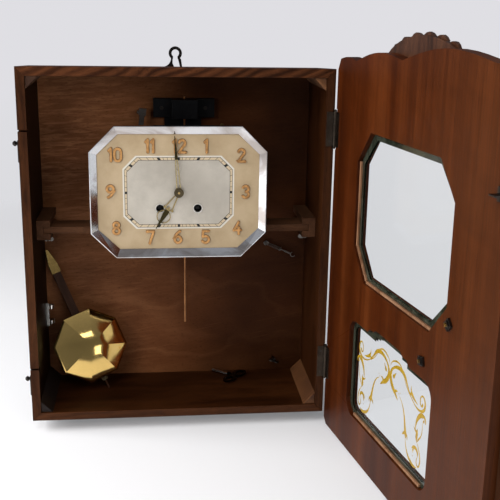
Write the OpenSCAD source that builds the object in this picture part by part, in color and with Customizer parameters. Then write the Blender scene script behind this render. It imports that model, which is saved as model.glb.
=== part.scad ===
// Octagonal-dial chiming wall clock in a walnut case, shown with its glazed door open and its
// pendulum unhooked and standing in the corner. Millimetres. X is right, Y goes back to the wall
// and Z is up. The origin is the centre of the hanger's eye on the wall.

/* [Case] */
// Width over the case sides
case_w = 350; // [320:1:440]
// Height of the case
case_h = 415; // [400:1:500]
// Depth from the rim to the back panel
case_d = 112; // [106:1:150]
// Thickness of the four case boards
board_t = 10; // [8:0.5:12]
// Thickness of the back panel
back_t = 5; // [3:0.5:8]
// Fall of the top board's upper face toward the wall
top_fall = 7; // [0:0.5:7]
// Leg of the triangular corner blocks
block_leg = 14; // [10:0.5:20]
// Height of the hanger's eye above the case
eye_rise = 9; // [8:0.5:20]
// Radius of the hanger's eye
eye_r = 4.5; // [3.5:0.25:6]

/* [Seat] */
// Drop from the hand centre to the top of the seat board
seat_drop = 47.5; // [46:0.5:60]
// Thickness of the seat board
seat_t = 8; // [6:0.5:10]
// Distance of the seat board behind the rim
seat_front = 40; // [38:0.5:44]
// Depth of the seat board
seat_depth = 33; // [30:0.5:36]
// Width of the grooved rails that carry the seat board
rail_w = 16; // [13:0.5:20]
// Height of the rails
rail_h = 23.5; // [20:0.5:30]

/* [Dial] */
// Height of the hand centre above the underside of the case
dial_z = 275.5; // [255:0.5:300]
// Width of the bezel
bezel_w = 200; // [190:1:230]
// Height of the bezel
bezel_h = 151.5; // [145:0.5:170]
// Width of the bezel's polished face
bezel_face = 9; // [6:0.5:11]
// Distance of the dial face behind the rim
dial_y = 8; // [7:0.5:10]
// Height of a numeral
numeral_h = 16.5; // [12:0.5:17]
// Width of a numeral's stroke
numeral_stroke = 2.8; // [2:0.1:3.2]
// Length of the minute hand
minute_len = 65; // [50:1:66]
// Length of the hour hand
hour_len = 50; // [40:1:52]
// Sideways distance of the winding holes from the centre
arbor_dx = 21.5; // [20:0.5:24]
// Drop of the winding holes below the centre
arbor_drop = 19; // [17:0.5:22]
// Radius of the winding holes
wind_hole_r = 4.5; // [4:0.25:5.5]

/* [Movement] */
// Distance from the dial face to the front plate
dial_to_plate = 20; // [19:0.5:22]
// Distance between the movement plates
plate_gap = 38; // [36:0.5:42]
// Thickness of the movement plates
plate_t = 2; // [1.5:0.25:2.5]
// Width of the movement plates
plate_w = 112; // [108:1:120]
// Height of the movement plates
plate_h = 102; // [100:1:110]
// Radius of the spring barrels
barrel_r = 16.4; // [14:0.2:16.6]

/* [Strike] */
// Sideways place of the gong rod
gong_x = 10; // [0:0.5:20]
// Drop from the case top to the top of the gong block
gong_drop = 44; // [40:1:60]
// Radius of the gong rod
gong_r = 1.25; // [1:0.05:1.6]
// Height of the gong rod's lower end
gong_end_z = 86; // [60:1:120]
// Sideways place of the hammer arbor
hammer_x = -50.5; // [-52:0.5:-49.5]
// Reach from the hammer arbor to the middle of its head
hammer_reach = 81.2; // [76:0.2:82]

/* [Door] */
// Opening angle of the door as drawn
door_open = 100; // [0:1:120]
// Thickness of the door board
door_t = 12; // [10:0.5:16]
// Gap between the rim and the closed door
door_gap = 2; // [1.8:0.1:3]
// Overlap of the door past the case on the free side
door_over = 10; // [6:0.5:14]
// Overlap of the door below the case
door_under = 12.5; // [8:0.5:20]
// Width of the upper window
upper_w = 210; // [190:1:215]
// Height of the upper window
upper_h = 162; // [156:1:170]
// Width of the lower window
lower_w = 195; // [160:1:210]
// Height of the lower window to its shoulders
lower_h = 113; // [90:1:118]
// Thickness of the glass
glass_t = 4; // [3:0.5:5]
// Width of the glass rebate
glass_rebate = 7; // [5:0.5:9]
// Length of a hinge
hinge_len = 39; // [30:1:50]
// Hinge pin's axis, beyond the case's side
hinge_out = 0.6; // [0.4:0.1:2.2]

/* [Pendulum] */
// Length of the pendulum from its threaded tip to its pointed top
pend_len = 191; // [180:1:196]
// Width of the bob across its flats
bob_w = 86; // [70:1:90]
// Thickness of the bob
bob_t = 20; // [14:0.5:22]
// Width of the wooden rod
rod_w = 10; // [8:0.5:12]

/* [Hidden] */
$fn = 48;

// Fits
run_fit = 0.05;
seat_fit = 0.05;
loose_fit = 0.3;

// Colours
walnut = "#5a3825";
dark_walnut = "#3a2217";
raw_wood = "#a8764f";
brass = "#b08a3e";
steel = "#8d8f92";
dark_steel = "#3d3b39";
black_iron = "#1c1d1f";
chrome = "#c9ccd0";
cream = "#d8c5a0";
copper = "#b5713c";

// Planes and centres
wall_y = case_d + back_t;
eye_z = case_h + eye_rise;
in_x = case_w / 2 - board_t;
seat_z = dial_z - seat_drop;
front_y = dial_y + dial_to_plate;
inner_y = front_y + plate_t;
rear_y = inner_y + plate_gap;
behind_y = rear_y + plate_t;
centre = [0, dial_z];
wind_right = [arbor_dx, dial_z - arbor_drop];
wind_left = [-arbor_dx, dial_z - arbor_drop];
motion_dist = 15;

// Teeth, modules and directions of the two trains
barrel_n = 72;
drive_n = 12;
pin_n = 8;
centre_n = 64;
third_n = 56;
strike_n = 60;
escape_n = 30;
centre_m = 0.55;
third_m = 0.5;
strike_m = 0.5;
escape_r = 12.5;
third_dir = 45;
escape_dir = 151;
strike_dir = 115;
fly_dir = 62;
barrel_m = 2 * norm(centre - wind_right) / (barrel_n + drive_n);

// Screws
screw_r = 1.2;
screw_head_r = 2.4;
hook_pin_r = 1.5;
hinge_x = case_w / 2 + hinge_out;
hinge_y = -door_gap / 2;

// Point at a distance and an angle from another point
function polar(p, r, a) = [p[0] + r * cos(a), p[1] + r * sin(a)];

// Places the clock in the hanger's frame
module placed() translate([0, -wall_y, -eye_z]) children();

// Mirror across the clock's middle, or front to back, when asked
module flip_x(on) {
    if (on) mirror([1, 0, 0]) children();
    else children();
}
module flip_y(on) {
    if (on) mirror([0, 1, 0]) children();
    else children();
}
module flip_z(on) {
    if (on) mirror([0, 0, 1]) children();
    else children();
}

// Plate in the XZ plane from depth y0, with thickness t
module slab(y0, t) translate([0, y0 + t, 0]) rotate([90, 0, 0]) linear_extrude(t) children();

// Round bars along each axis
module bar_y(p, y0, y1, r) translate([p[0], y1, p[1]]) rotate([90, 0, 0]) cylinder(r = r, h = y1 - y0);
module bar_x(y, z, x0, x1, r) translate([x0, y, z]) rotate([0, 90, 0]) cylinder(r = r, h = x1 - x0);
module bar_z(x, y, z0, z1, r) translate([x, y, z0]) cylinder(r = r, h = z1 - z0);
module box(x0, x1, y0, y1, z0, z1) translate([x0, y0, z0]) cube([x1 - x0, y1 - y0, z1 - z0]);

// Octagon outline, w by h over all, with corner legs cx and cz
function octagon(w, h, cx, cz) = [
    [-w / 2 + cx, -h / 2], [w / 2 - cx, -h / 2], [w / 2, -h / 2 + cz], [w / 2, h / 2 - cz],
    [w / 2 - cx, h / 2], [-w / 2 + cx, h / 2], [-w / 2, h / 2 - cz], [-w / 2, -h / 2 + cz]];

// Toothed wheel outline with slim straight-sided teeth and free play
tooth_root = 0.30;
tooth_tip = 0.13;
function gear(n, m) = [for (i = [0 : n - 1]) for (k = [[-tooth_root, -1.3], [-tooth_tip, 0.75],
    [tooth_tip, 0.75], [tooth_root, -1.3]])
    let (a = (i + k[0]) * 360 / n, r = m * n / 2 + k[1] * m) [r * cos(a), r * sin(a)]];
// Turn that puts the second wheel in mesh with the first, which lies in direction a from it
function in_mesh(a, n1, turn1, n2) = a + 180 + 180 / n2 + (a - turn1) * n1 / n2;

// Spoked wheel from depth y0
module wheel(p, y0, t, n, m, turn, spokes, hub) {
    rim = m * n / 2 - 1.3 * m - 1.6;
    slab(y0, t) translate(p) rotate(turn) difference() {
        polygon(gear(n, m));
        if (spokes > 0) difference() {
            circle(r = rim);
            circle(r = hub);
            for (i = [0 : spokes - 1]) rotate(i * 360 / spokes) translate([0, -0.9]) square([rim + 1, 1.8]);
        }
    }
}
module pinion(p, y0, t, n, m, turn) slab(y0, t) translate(p) rotate(turn) polygon(gear(n, m));

// Case

// Mitred board outline along one side, of length l, seen from the rim
module mitred(l) polygon([[-l / 2, 0], [l / 2, 0], [l / 2 - board_t, board_t], [-l / 2 + board_t, board_t]]);
// Rebate for the back panel round the inside of the boards
rebate_w = board_t / 2;
module back_rebate() box(-in_x - rebate_w, in_x + rebate_w, case_d, wall_y + 1,
    board_t - rebate_w, case_h - board_t);
// Wedge above the top, which falls a little from just behind the rim to the wall
fall_y = 4;
function top_at(y) = case_h - (y - fall_y) * top_fall / (wall_y - fall_y);
module above_top() translate([-case_w / 2 - 1, 0, 0]) rotate([90, 0, 90]) linear_extrude(case_w + 2)
    polygon([[-14, top_at(-14)], [wall_y + 1, top_at(wall_y + 1)], [wall_y + 1, case_h + 9], [-14, case_h + 9]]);

module case_bottom() color(walnut) placed() difference() {
    slab(0, wall_y) mitred(case_w);
    back_rebate();
}
module case_top() color(walnut) placed() difference() {
    slab(0, wall_y) translate([0, case_h]) mirror([0, 1]) mitred(case_w);
    back_rebate();
    if (top_fall > 0) above_top();
    hanger_recess();
}

// Saw cuts in the left side that take the door's tongues
slot_zs = [case_h - 69, 66];
slot_h = 2.2;
slot_deep = 10;
// Pivots of the side hooks, below the saw cuts
hook_drop = 15;
hook_y = 9;
hinge_zs = [case_h - 66.5, 67];
module side_board() slab(0, wall_y) translate([case_w / 2, case_h / 2]) rotate(90) mitred(case_h);

module case_left_side() color(walnut) placed() difference() {
    mirror([1, 0, 0]) side_board();
    back_rebate();
    if (top_fall > 0) above_top();
    for (z = slot_zs) {
        box(-case_w / 2 - 1, -in_x + 1, -1, slot_deep, z - slot_h / 2, z + slot_h / 2);
        bar_x(hook_y, z - hook_drop, -case_w / 2 - 1, -in_x - 2.5, hook_pin_r + seat_fit);
    }
    mirror([1, 0, 0]) rail_screw_holes();
}
module case_right_side() color(walnut) placed() difference() {
    side_board();
    back_rebate();
    if (top_fall > 0) above_top();
    knuckle_room();
    for (z = hinge_zs) for (dz = leaf_screw_dz)
        bar_y([leaf_x, z + dz], -1, leaf_screw_len + 1, screw_r + seat_fit);
    rail_screw_holes();
}

rail_top = seat_z + seat_t;
rail_back = case_d - 2;
module rail_screw_holes() for (y = [seat_front + 8, rail_back - 12])
    bar_x(y, seat_z - seat_t - 4, in_x - 1, in_x + 6, screw_r + seat_fit);

module back_panel() color(dark_walnut) placed() difference() {
    box(-in_x - rebate_w + 0.2, in_x + rebate_w - 0.2, case_d, wall_y,
        board_t - rebate_w + 0.2, case_h - board_t - 0.2);
    hanger_recess();
    for (x = hanger_screw_xs) bar_y([x, eye_z + hanger_low + 7], case_d + 0.2, wall_y, screw_r + seat_fit);
    for (x = gong_screw_xs) bar_y([gong_x + x, gong_mid_z], case_d - 1, case_d + 4, screw_r + seat_fit);
    bar_y([steady_x, steady_z], case_d - 1, case_d + 4, screw_r + seat_fit);
    bar_y(transit_eye, case_d - 1, case_d + 4, screw_r + seat_fit);
}

block_y0 = 2;
module corner_block() linear_extrude(case_d - block_y0 - 0.2)
    polygon([[0, 0], [block_leg, 0], [0, block_leg]]);
module corner_blocks() color(raw_wood) placed()
    for (sx = [-1, 1]) for (sz = [-1, 1])
        translate([sx * in_x, 0, sz > 0 ? board_t : case_h - board_t])
            flip_x(sx > 0) flip_z(sz < 0)
                translate([0, case_d - 0.2, 0]) rotate([90, 0, 0]) corner_block();

// Seat

groove_deep = 8;
thumb_y = seat_front + 24;
thumb_x = in_x - rail_w + 5;
thumb_r = 2;
module seat_rails() color(walnut) placed() for (s = [-1, 1]) flip_x(s < 0) difference() {
    box(in_x - rail_w, in_x, seat_front - 2, rail_back, rail_top - rail_h, rail_top);
    box(in_x - rail_w - 1, in_x - rail_w + groove_deep, seat_front - 3, rail_back + 1,
        seat_z - seat_t - 0.1, seat_z + 0.1);
    bar_z(thumb_x, thumb_y, rail_top - rail_h - 1, seat_z, thumb_r + run_fit);
    for (y = [seat_front + 8, rail_back - 12]) {
        bar_x(y, seat_z - seat_t - 4, in_x - rail_w - 1, in_x + 1, screw_r + seat_fit);
        bar_x(y, seat_z - seat_t - 4, in_x - rail_w - 1, in_x - rail_w + 1.3, screw_head_r + seat_fit);
    }
}
seat_pillar_xs = [-44, 44];
module seat_board() color(walnut) placed() difference() {
    box(-(in_x - rail_w + groove_deep - 0.4), in_x - rail_w + groove_deep - 0.4,
        seat_front, seat_front + seat_depth, seat_z - seat_t, seat_z);
    for (x = seat_pillar_xs)
        bar_z(x, pillar_y, seat_z - seat_t - 1, seat_z + 1, screw_r + 0.3);
    for (s = [-1, 1])
        bar_z(s * thumb_x, thumb_y, seat_z - seat_t - 1, seat_z - seat_t + 4, thumb_r + run_fit);
}
wing_r = 2.5;
module thumb_screw() {
    bar_z(0, 0, -7.5, rail_h - seat_t - 4.5, thumb_r);
    bar_z(0, 0, -2, 0, thumb_r + 0.9);
    for (s = [-1, 1]) translate([s * (thumb_r + 1), 0, -5.4]) rotate([90, 0, 0])
        cylinder(r = wing_r, h = 1.4, center = true);
}
module seat_thumb_screws() color(steel) placed()
    for (s = [-1, 1]) translate([s * thumb_x, thumb_y, rail_top - rail_h]) thumb_screw();

// Hanger, let into the back of the panel, with a keyhole eye and one flared foot

hanger_t = 3;
hanger_w = 46;
hanger_low = -44;
hanger_screw_xs = [-15, 15];
slot_half = 2.65;
// Recess that lets the hanger in flush
module hanger_recess() translate([0, 0, eye_z]) slab(wall_y - hanger_t, hanger_t + 1) {
    translate([-hanger_w / 2 - 0.3, hanger_low - 0.3]) square([hanger_w + 0.6, 20.6]);
    translate([-16.3, hanger_low + 19]) square([26.6, 60]);
}
module hanger_outline() {
    translate([-hanger_w / 2, hanger_low]) square([hanger_w, 20]);
    difference() {
        polygon([[-16, hanger_low + 19], [10, hanger_low + 19], [8.2, -16.3], [6.9, -7], [5.1, -5.5],
            [-5.1, -5.5], [-5.6, -7], [-16, -7]]);
        // Hollow sweep between the slim left leg and its foot
        translate([-15.5, -6]) circle(r = 10.2);
    }
    circle(r = eye_r + 3.5);
}
// Waisted slot between the legs, open to the eye
module hanger_slot() polygon([[-slot_half, -3], [-slot_half - 0.2, -6], [-3.3, -8], [-3.4, -11.6], [-2.5, -14],
    [-1.1, -16.6], [5.6, -16.6], [3.5, -8], [slot_half, -6], [slot_half, -3]]);
module hanger() color(dark_steel) placed() translate([0, 0, eye_z]) difference() {
    slab(wall_y - hanger_t, hanger_t) difference() {
        hanger_outline();
        circle(r = eye_r);
        hanger_slot();
    }
    for (x = hanger_screw_xs) {
        bar_y([x, hanger_low + 7], wall_y - hanger_t - 1, wall_y + 1, screw_r + seat_fit);
        bar_y([x, hanger_low + 7], wall_y - 1.2, wall_y + 1, screw_head_r + seat_fit);
    }
}

// Hinges

leaf_t = door_gap / 2 - 0.1;
leaf_w = 9;
leaf_x = case_w / 2 - leaf_w / 2 - 0.5;
leaf_screw_dz = [-hinge_len / 2 + 6, hinge_len / 2 - 6];
leaf_screw_len = 9;
knuckle_r = 2.35;
pin_r = 1.1;
module leaf(y0, z)
    box(case_w / 2 - leaf_w, hinge_x - 1.3, y0, y0 + leaf_t, z - hinge_len / 2, z + hinge_len / 2);
module knuckle(z0, z1) bar_z(hinge_x, hinge_y, z0, z1, knuckle_r);
// Hollow in the case's and the door's corner for the knuckles and the pin's ends
module knuckle_room() for (z = hinge_zs)
    bar_z(hinge_x, hinge_y, z - hinge_len / 2 - 3.3, z + hinge_len / 2 + 3.3, knuckle_r + 0.3);
leaf_end = hinge_x - knuckle_r - 0.15;
third = hinge_len / 3;

module hinge_case_halves() color(dark_steel) placed() for (z = hinge_zs) {
    difference() {
        union() {
            leaf(-leaf_t, z);
            knuckle(z - hinge_len / 2, z - third / 2 - 0.1);
            knuckle(z + third / 2 + 0.1, z + hinge_len / 2);
        }
        box(leaf_end, hinge_x + 5, -leaf_t - 2, 3, z - third / 2 - 0.1, z + third / 2 + 0.1);
        for (dz = leaf_screw_dz) bar_y([leaf_x, z + dz], -2, 2, screw_r + seat_fit);
    }
    bar_z(hinge_x, hinge_y, z - hinge_len / 2 - 1.2, z + hinge_len / 2 + 1.2, pin_r);
    for (s = [-1, 1]) translate([hinge_x, hinge_y, z + s * (hinge_len / 2 + 1.2)]) sphere(r = 1.7);
}
module hinge_door_halves() color(dark_steel) placed() door_pose() for (z = hinge_zs) difference() {
    union() {
        leaf(-door_gap, z);
        knuckle(z - third / 2 + 0.1, z + third / 2 - 0.1);
    }
    bar_z(hinge_x, hinge_y, z - hinge_len, z + hinge_len, pin_r + run_fit);
    for (s = [-1, 1]) box(leaf_end, hinge_x + 5, -door_gap - 2, 3,
        s < 0 ? z - hinge_len : z + third / 2 - 0.1, s < 0 ? z - third / 2 + 0.1 : z + hinge_len);
    for (dz = leaf_screw_dz) bar_y([leaf_x, z + dz], -5, 2, screw_r + seat_fit);
}

// Screws and small fixings

// Screw driven along +Y: its head's face is at y, and its shank is l long
module screw_y(p, y, l, head = 0.8) difference() {
    union() {
        bar_y(p, y, y + head, screw_head_r);
        bar_y(p, y + head - 0.1, y + l, screw_r);
    }
    translate([p[0] - screw_head_r, y - 0.1, p[1] - 0.25]) cube([2 * screw_head_r, 0.5, 0.5]);
}
module screw_x(y, z, x, l) difference() {
    union() {
        bar_x(y, z, x, x + 1.2, screw_head_r);
        bar_x(y, z, x, x + l, screw_r);
    }
    translate([x - 0.1, y - screw_head_r, z - 0.25]) cube([0.6, 2 * screw_head_r, 0.5]);
}
steady_x = 127;
steady_z = 28;
transit_eye = [114.5, 187];
hook_plane = case_d - 5;
module eye_screw() {
    bar_y(transit_eye, hook_plane - 1.4, case_d + 3.5, screw_r);
    bar_y(transit_eye, hook_plane - 2.4, hook_plane - 0.9, 2.4);
    bar_y(transit_eye, hook_plane + 0.9, hook_plane + 2, 2.4);
}
module case_fixings() color(dark_steel) placed() {
    for (z = hinge_zs) for (dz = leaf_screw_dz)
        translate([0, -leaf_t, 0]) difference() {
            bar_y([leaf_x, z + dz], 0, leaf_screw_len, screw_r);
            translate([leaf_x - 2, -0.1, z + dz - 0.2]) cube([4, 0.4, 0.4]);
        }
    for (z = slot_zs) {
        bar_x(hook_y, z - hook_drop, -case_w / 2 - 2.6, -in_x - 3, hook_pin_r);
        // Rounded head of the pin
        translate([-case_w / 2 - 2.5, hook_y, z - hook_drop]) rotate([0, -90, 0]) {
            cylinder(r1 = 1.8, r2 = 3, h = 1.6);
            translate([0, 0, 1.6]) cylinder(r = 3, h = 1.4);
            translate([0, 0, 3]) cylinder(r1 = 3, r2 = 1.4, h = 1.7);
        }
    }
    for (x = hanger_screw_xs) translate([0, 2 * wall_y, 0]) mirror([0, 1, 0])
        screw_y([x, eye_z + hanger_low + 7], wall_y + 0.1, 4.5, 1);
    for (x = gong_screw_xs)
        screw_y([gong_x + x, gong_mid_z], gong_base_y - 1, case_d + 3.5 - gong_base_y + 1, 1);
    // Screw with a wing head near the right corner, that steadies the case on the wall
    bar_y([steady_x, steady_z], case_d - 14, case_d + 3.5, screw_r);
    bar_y([steady_x, steady_z], case_d - 13.5, case_d - 9, 3);
    translate([steady_x, case_d - 16, steady_z]) rotate([0, 20, 0]) for (w = [-1, 1])
        translate([w * 3.6, 0, 0]) cylinder(r = 3.2, h = 1.6, center = true);
    for (s = [-1, 1]) flip_x(s < 0) for (y = [seat_front + 8, rail_back - 12])
        screw_x(y, seat_z - seat_t - 4, in_x - rail_w, rail_w + 5);
    eye_screw();
}

// Gong

gong_screw_xs = [-27.3, 25.8];
gong_top_z = case_h - gong_drop;
gong_mid_z = gong_top_z - 11.5;
gong_base_y = case_d - 8;
gong_front_y = case_d - 24;
gong_y = case_d - 15;
gong_low_z = gong_top_z - 23;
module gong_block() color(black_iron) placed() difference() {
    union() {
        box(gong_x - 37.5, gong_x + 37, gong_base_y, case_d, gong_low_z, gong_top_z);
        box(gong_x - 24, gong_x + 21, case_d - 6, case_d, gong_low_z - 46, gong_low_z + 1);
        box(gong_x - 15, gong_x + 16, gong_front_y, gong_base_y + 1, gong_low_z, gong_top_z);
    }
    bar_z(gong_x, gong_y, gong_low_z - 1, gong_top_z + 1, gong_r + seat_fit);
    for (x = gong_screw_xs)
        bar_y([gong_x + x, gong_mid_z], gong_base_y - 1, case_d + 1, screw_r + seat_fit);
}
module gong_rod() color(copper) placed() {
    bar_z(gong_x, gong_y, gong_end_z, gong_top_z + 3, gong_r);
}

// Key clip on the left wall

clip_z = 98;
clip_y = case_d - 8;
module key_clip() placed() {
    color(black_iron) box(-in_x, -in_x + 3, clip_y - 4, clip_y + 4, clip_z - 15, clip_z + 15);
    color(chrome) for (s = [-1, 1]) translate([-in_x + 3, clip_y, clip_z + s * 10]) difference() {
        translate([2.6, 0, 0]) cylinder(r = 3.6, h = 5, center = true);
        translate([3, 0, 0]) cylinder(r = 2.8, h = 6, center = true);
        translate([5, -1.6, -3]) cube([4, 3.2, 6]);
        translate([-4, -5, -3]) cube([4, 10, 6]);
    }
}

// Movement frame

pillar_r = 4;
pillar_y = inner_y + plate_gap / 2 + 4;
plate_z0 = seat_z;
plate_z1 = seat_z + plate_h;
plate_mid = [0, seat_z + plate_h / 2];
pillar_spots = [[-44, seat_z + pillar_r], [44, seat_z + pillar_r],
    [-plate_w / 2 + 8, plate_z1 - 8], [plate_w / 2 - 8, plate_z1 - 8]];
foot_spots = [[-38, seat_z + 12], [38, seat_z + 12], [-38, plate_z1 - 6], [38, plate_z1 - 6]];
foot_r = 2.5;

third_at = polar(centre, centre_m * (centre_n + pin_n) / 2, third_dir);
escape_at = polar(third_at, third_m * (third_n + pin_n) / 2, escape_dir);
pallet_at = [escape_at[0], escape_at[1] + escape_r + 4.5];
strike_at = polar(wind_left, barrel_m * (barrel_n + drive_n) / 2, strike_dir);
fly_at = polar(strike_at, strike_m * (strike_n + pin_n) / 2, fly_dir);
hammer_at = [hammer_x, dial_z - 0.5];
minute_at = polar(centre, motion_dist, 90);

// Holes that both plates share: arbors and pivots
module pivot_holes(y0, y1) {
    for (p = [third_at, escape_at, strike_at, fly_at]) bar_y(p, y0, y1, pivot_r + run_fit);
    for (p = [wind_left, wind_right]) bar_y(p, y0, y1, wind_r + run_fit);
    bar_y(hammer_at, y0, y1, hammer_arbor_r + run_fit);
    for (p = pillar_spots) bar_y(p, y0, y1, pillar_end_r + seat_fit);
}
pivot_r = 0.8;
centre_r = 1.25;
wind_r = 2.5;
hammer_arbor_r = 1.5;
pillar_end_r = 1.6;

module front_plate() color(brass) placed() difference() {
    slab(front_y, plate_t) translate([-plate_w / 2, plate_z0 + 0.2]) square([plate_w, plate_h - 0.2]);
    pivot_holes(front_y - 1, inner_y + 1);
    bar_y(centre, front_y - 1, inner_y + 1, centre_r + run_fit);
    bar_y(pallet_at, front_y - 1, inner_y + 1, pivot_r + run_fit);
    bar_y(minute_at, front_y - 1, inner_y + 1, pivot_r + seat_fit);
    for (p = foot_spots) bar_y(p, front_y - 1, inner_y + 1, pillar_end_r + seat_fit);
}
module back_plate() color(brass) placed() difference() {
    slab(rear_y, plate_t) translate([-plate_w / 2, plate_z0 + 0.2]) square([plate_w, plate_h - 0.2]);
    pivot_holes(rear_y - 1, behind_y + 1);
    bar_y(centre, rear_y - 1, behind_y + 1, pivot_r + run_fit);
    bar_y(pallet_at, rear_y - 1, behind_y + 1, 4);
    bar_y(lever_at, rear_y - 1, behind_y + 1, 1.2 + run_fit);
    for (x = cock_screw_xs) bar_y([x, cock_z], rear_y - 1, behind_y + 1, screw_r + seat_fit);
}
module pillars() color(brass) placed() {
    for (p = pillar_spots) difference() {
        union() {
            bar_y(p, inner_y, rear_y, pillar_r);
            bar_y(p, front_y, behind_y, pillar_end_r);
        }
        if (p[1] < dial_z) bar_z(p[0], pillar_y, seat_z - 1, seat_z + pillar_r + 2, screw_r + seat_fit);
        bar_y(p, front_y - 1, front_y + 4, 0.9);
        bar_y(p, behind_y - 4, behind_y + 1, 0.9);
    }
    // Stud of the minute wheel, and the dial feet
    bar_y(minute_at, hour_wheel_y - 1.2, inner_y + 0.5, pivot_r);
    for (p = foot_spots) {
        bar_y(p, dial_y + dial_t, front_y, foot_r);
        bar_y(p, front_y - 0.5, inner_y + 1, pillar_end_r);
    }
}
module plate_screw(p, y, s) translate([0, y, 0]) flip_y(s < 0) difference() {
    union() {
        bar_y(p, -1.6, 0, 3);
        bar_y(p, -1, 3.6, 0.85);
    }
    translate([p[0] - 3, -1.7, p[1] - 0.3]) cube([6, 0.7, 0.6]);
}
module movement_screws() color(steel) placed() {
    for (p = pillar_spots) {
        plate_screw(p, front_y, 1);
        plate_screw(p, behind_y, -1);
    }
    for (x = seat_pillar_xs) {
        bar_z(x, pillar_y, seat_z - seat_t, seat_z + pillar_r + 1.5, screw_r);
        bar_z(x, pillar_y, seat_z - seat_t - 1.8, seat_z - seat_t, 3.4);
    }
    for (x = cock_screw_xs) translate([0, 2 * (behind_y + cock_t), 0]) mirror([0, 1, 0])
        screw_y([x, cock_z], behind_y + cock_t - 1, 4, 1);
}

// Dial

dial_t = 1;
bezel_y = dial_y - 6;
corner_x = 28.5;
corner_z = 29;
open_w = bezel_w - 2 * bezel_face + 1;
open_h = bezel_h - 2 * bezel_face - 1.5;
ring_w = 124;
ring_h = 81;
module dial_outline(grow) polygon(octagon(open_w + 3 + 2 * grow, open_h + 3 + 2 * grow, 24.6, 23.6));
module dial_plate() color(cream) placed() difference() {
    slab(dial_y, dial_t) translate(centre) difference() {
        dial_outline(0);
        circle(r = 5);
        for (s = [-1, 1]) translate([s * arbor_dx, -arbor_drop]) circle(r = wind_hole_r + 0.6);
    }
}
module bezel() color(chrome) placed() translate([0, 0, dial_z]) difference() {
    slab(bezel_y, dial_y + dial_t + 2 - bezel_y) polygon(octagon(bezel_w, bezel_h, corner_x, corner_z));
    // Sloping polished face
    hull() {
        slab(bezel_y - 1, 0.5)
            polygon(octagon(bezel_w - 0.4, bezel_h - 0.4, corner_x - 0.2, corner_z - 0.2));
        slab(dial_y - 1, 0.01) polygon(octagon(open_w, open_h, 24, 23));
    }
    translate([0, -1, 0]) slab(dial_y - 1, 2) polygon(octagon(open_w, open_h, 24, 23));
    slab(dial_y, dial_t + 3) dial_outline(0.1);
}

// Strokes of the numerals: straight pieces and arcs, a hair slimmer than their round ends
slim = numeral_stroke / 2 - 0.02;
module dot(p) translate(p) circle(r = numeral_stroke / 2);
module stroke(a, b) {
    translate(a) rotate(atan2(b[1] - a[1], b[0] - a[0]))
        translate([0, -slim]) square([norm(b - a), 2 * slim]);
    dot(a);
    dot(b);
}
module bend(c, r, a0, a1) {
    translate(c) intersection() {
        difference() {
            circle(r = r + slim);
            circle(r = r - slim);
        }
        polygon(concat([[0, 0]], [for (i = [0 : 8]) let (a = a0 + (a1 - a0) * i / 8)
            [4 * r * cos(a), 4 * r * sin(a)]]));
    }
    dot(polar(c, r, a0));
    dot(polar(c, r, a1));
}
module hoop(c, r) translate(c) difference() {
    circle(r = r + numeral_stroke / 2);
    circle(r = r - numeral_stroke / 2);
}
// Half height of the stroke's centre line
nh = numeral_h / 2 - numeral_stroke / 2;
nr = nh / 2;
module digit(d) {
    if (d == 0) {
        for (s = [-1, 1]) bend([0, s * (nh - 3.6)], 3.6, s > 0 ? 0 : 180, s > 0 ? 180 : 360);
        for (s = [-1, 1]) translate([s * 3.6 - slim, 3.6 - nh]) square([2 * slim, 2 * nh - 7.2]);
    }
    if (d == 1) {
        stroke([0.6, nh], [0.6, -nh]);
        stroke([0.6, nh], [-1.6, nh - 2.4]);
    }
    if (d == 2) {
        bend([0, nh - 3.3], 3.3, -25, 165);
        stroke(polar([0, nh - 3.3], 3.3, -25), [-3.4, -nh]);
        stroke([-3.4, -nh], [3.8, -nh]);
    }
    if (d == 3) {
        bend([0, nr], nr - 0.2, -80, 150);
        bend([0, -nr], nr, -150, 80);
    }
    if (d == 4) {
        stroke([1.6, nh], [-3.8, -2.4]);
        stroke([-3.8, -2.4], [4, -2.4]);
        stroke([1.8, 1], [1.8, -nh]);
    }
    if (d == 5) {
        stroke([3.4, nh], [-2.6, nh]);
        stroke([-2.6, nh], [-3, 1.2]);
        bend([0, -nh + 3.9], 3.9, -145, 130);
    }
    if (d == 6) {
        hoop([0, -nh + 3.7], 3.7);
        bend([7.06, -nh + 3.7], 10.76, 116, 170);
    }
    if (d == 7) {
        stroke([-3.6, nh], [3.6, nh]);
        stroke([3.6, nh], [-0.8, -nh]);
    }
    if (d == 8) {
        hoop([0, nr + 0.2], nr - 0.4);
        hoop([0, -nr + 0.1], nr);
    }
    if (d == 9) rotate(180) digit(6);
}
numeral_t = 1.2;
two_gap = 7.2;
numeral_spots = [[0.3, 52.6], [31.1, 52.6], [71, 42], [76.4, 0], [67.2, -42.8], [30.4, -53], [-1.3, -52.6],
    [-32.8, -52.7], [-71.3, -41.5], [-77.1, 1], [-71.5, 42.9], [-32.7, 52.9]];
module numerals() color(copper) placed() slab(dial_y - numeral_t, numeral_t) for (h = [0 : 11])
    translate(centre + numeral_spots[h]) {
        hour = h == 0 ? 12 : h;
        if (hour < 10) digit(hour);
        else {
            translate([-two_gap / 2 - (hour == 11 ? -1.2 : 1), 0]) digit(1);
            translate([two_gap / 2 + (hour == 11 ? 0.2 : 0), 0]) digit(hour - 10);
        }
    }
module winding_rings() color(chrome) placed() for (p = [wind_left, wind_right]) difference() {
    union() {
        bar_y(p, dial_y - 0.8, dial_y, wind_hole_r + 1.1);
        bar_y(p, dial_y - 0.8, dial_y + dial_t + 0.6, wind_hole_r + 0.5);
    }
    bar_y(p, dial_y - 2, dial_y + dial_t + 2, wind_hole_r);
}

// Motion work: the hands' gearing between the dial and the front plate

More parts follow.
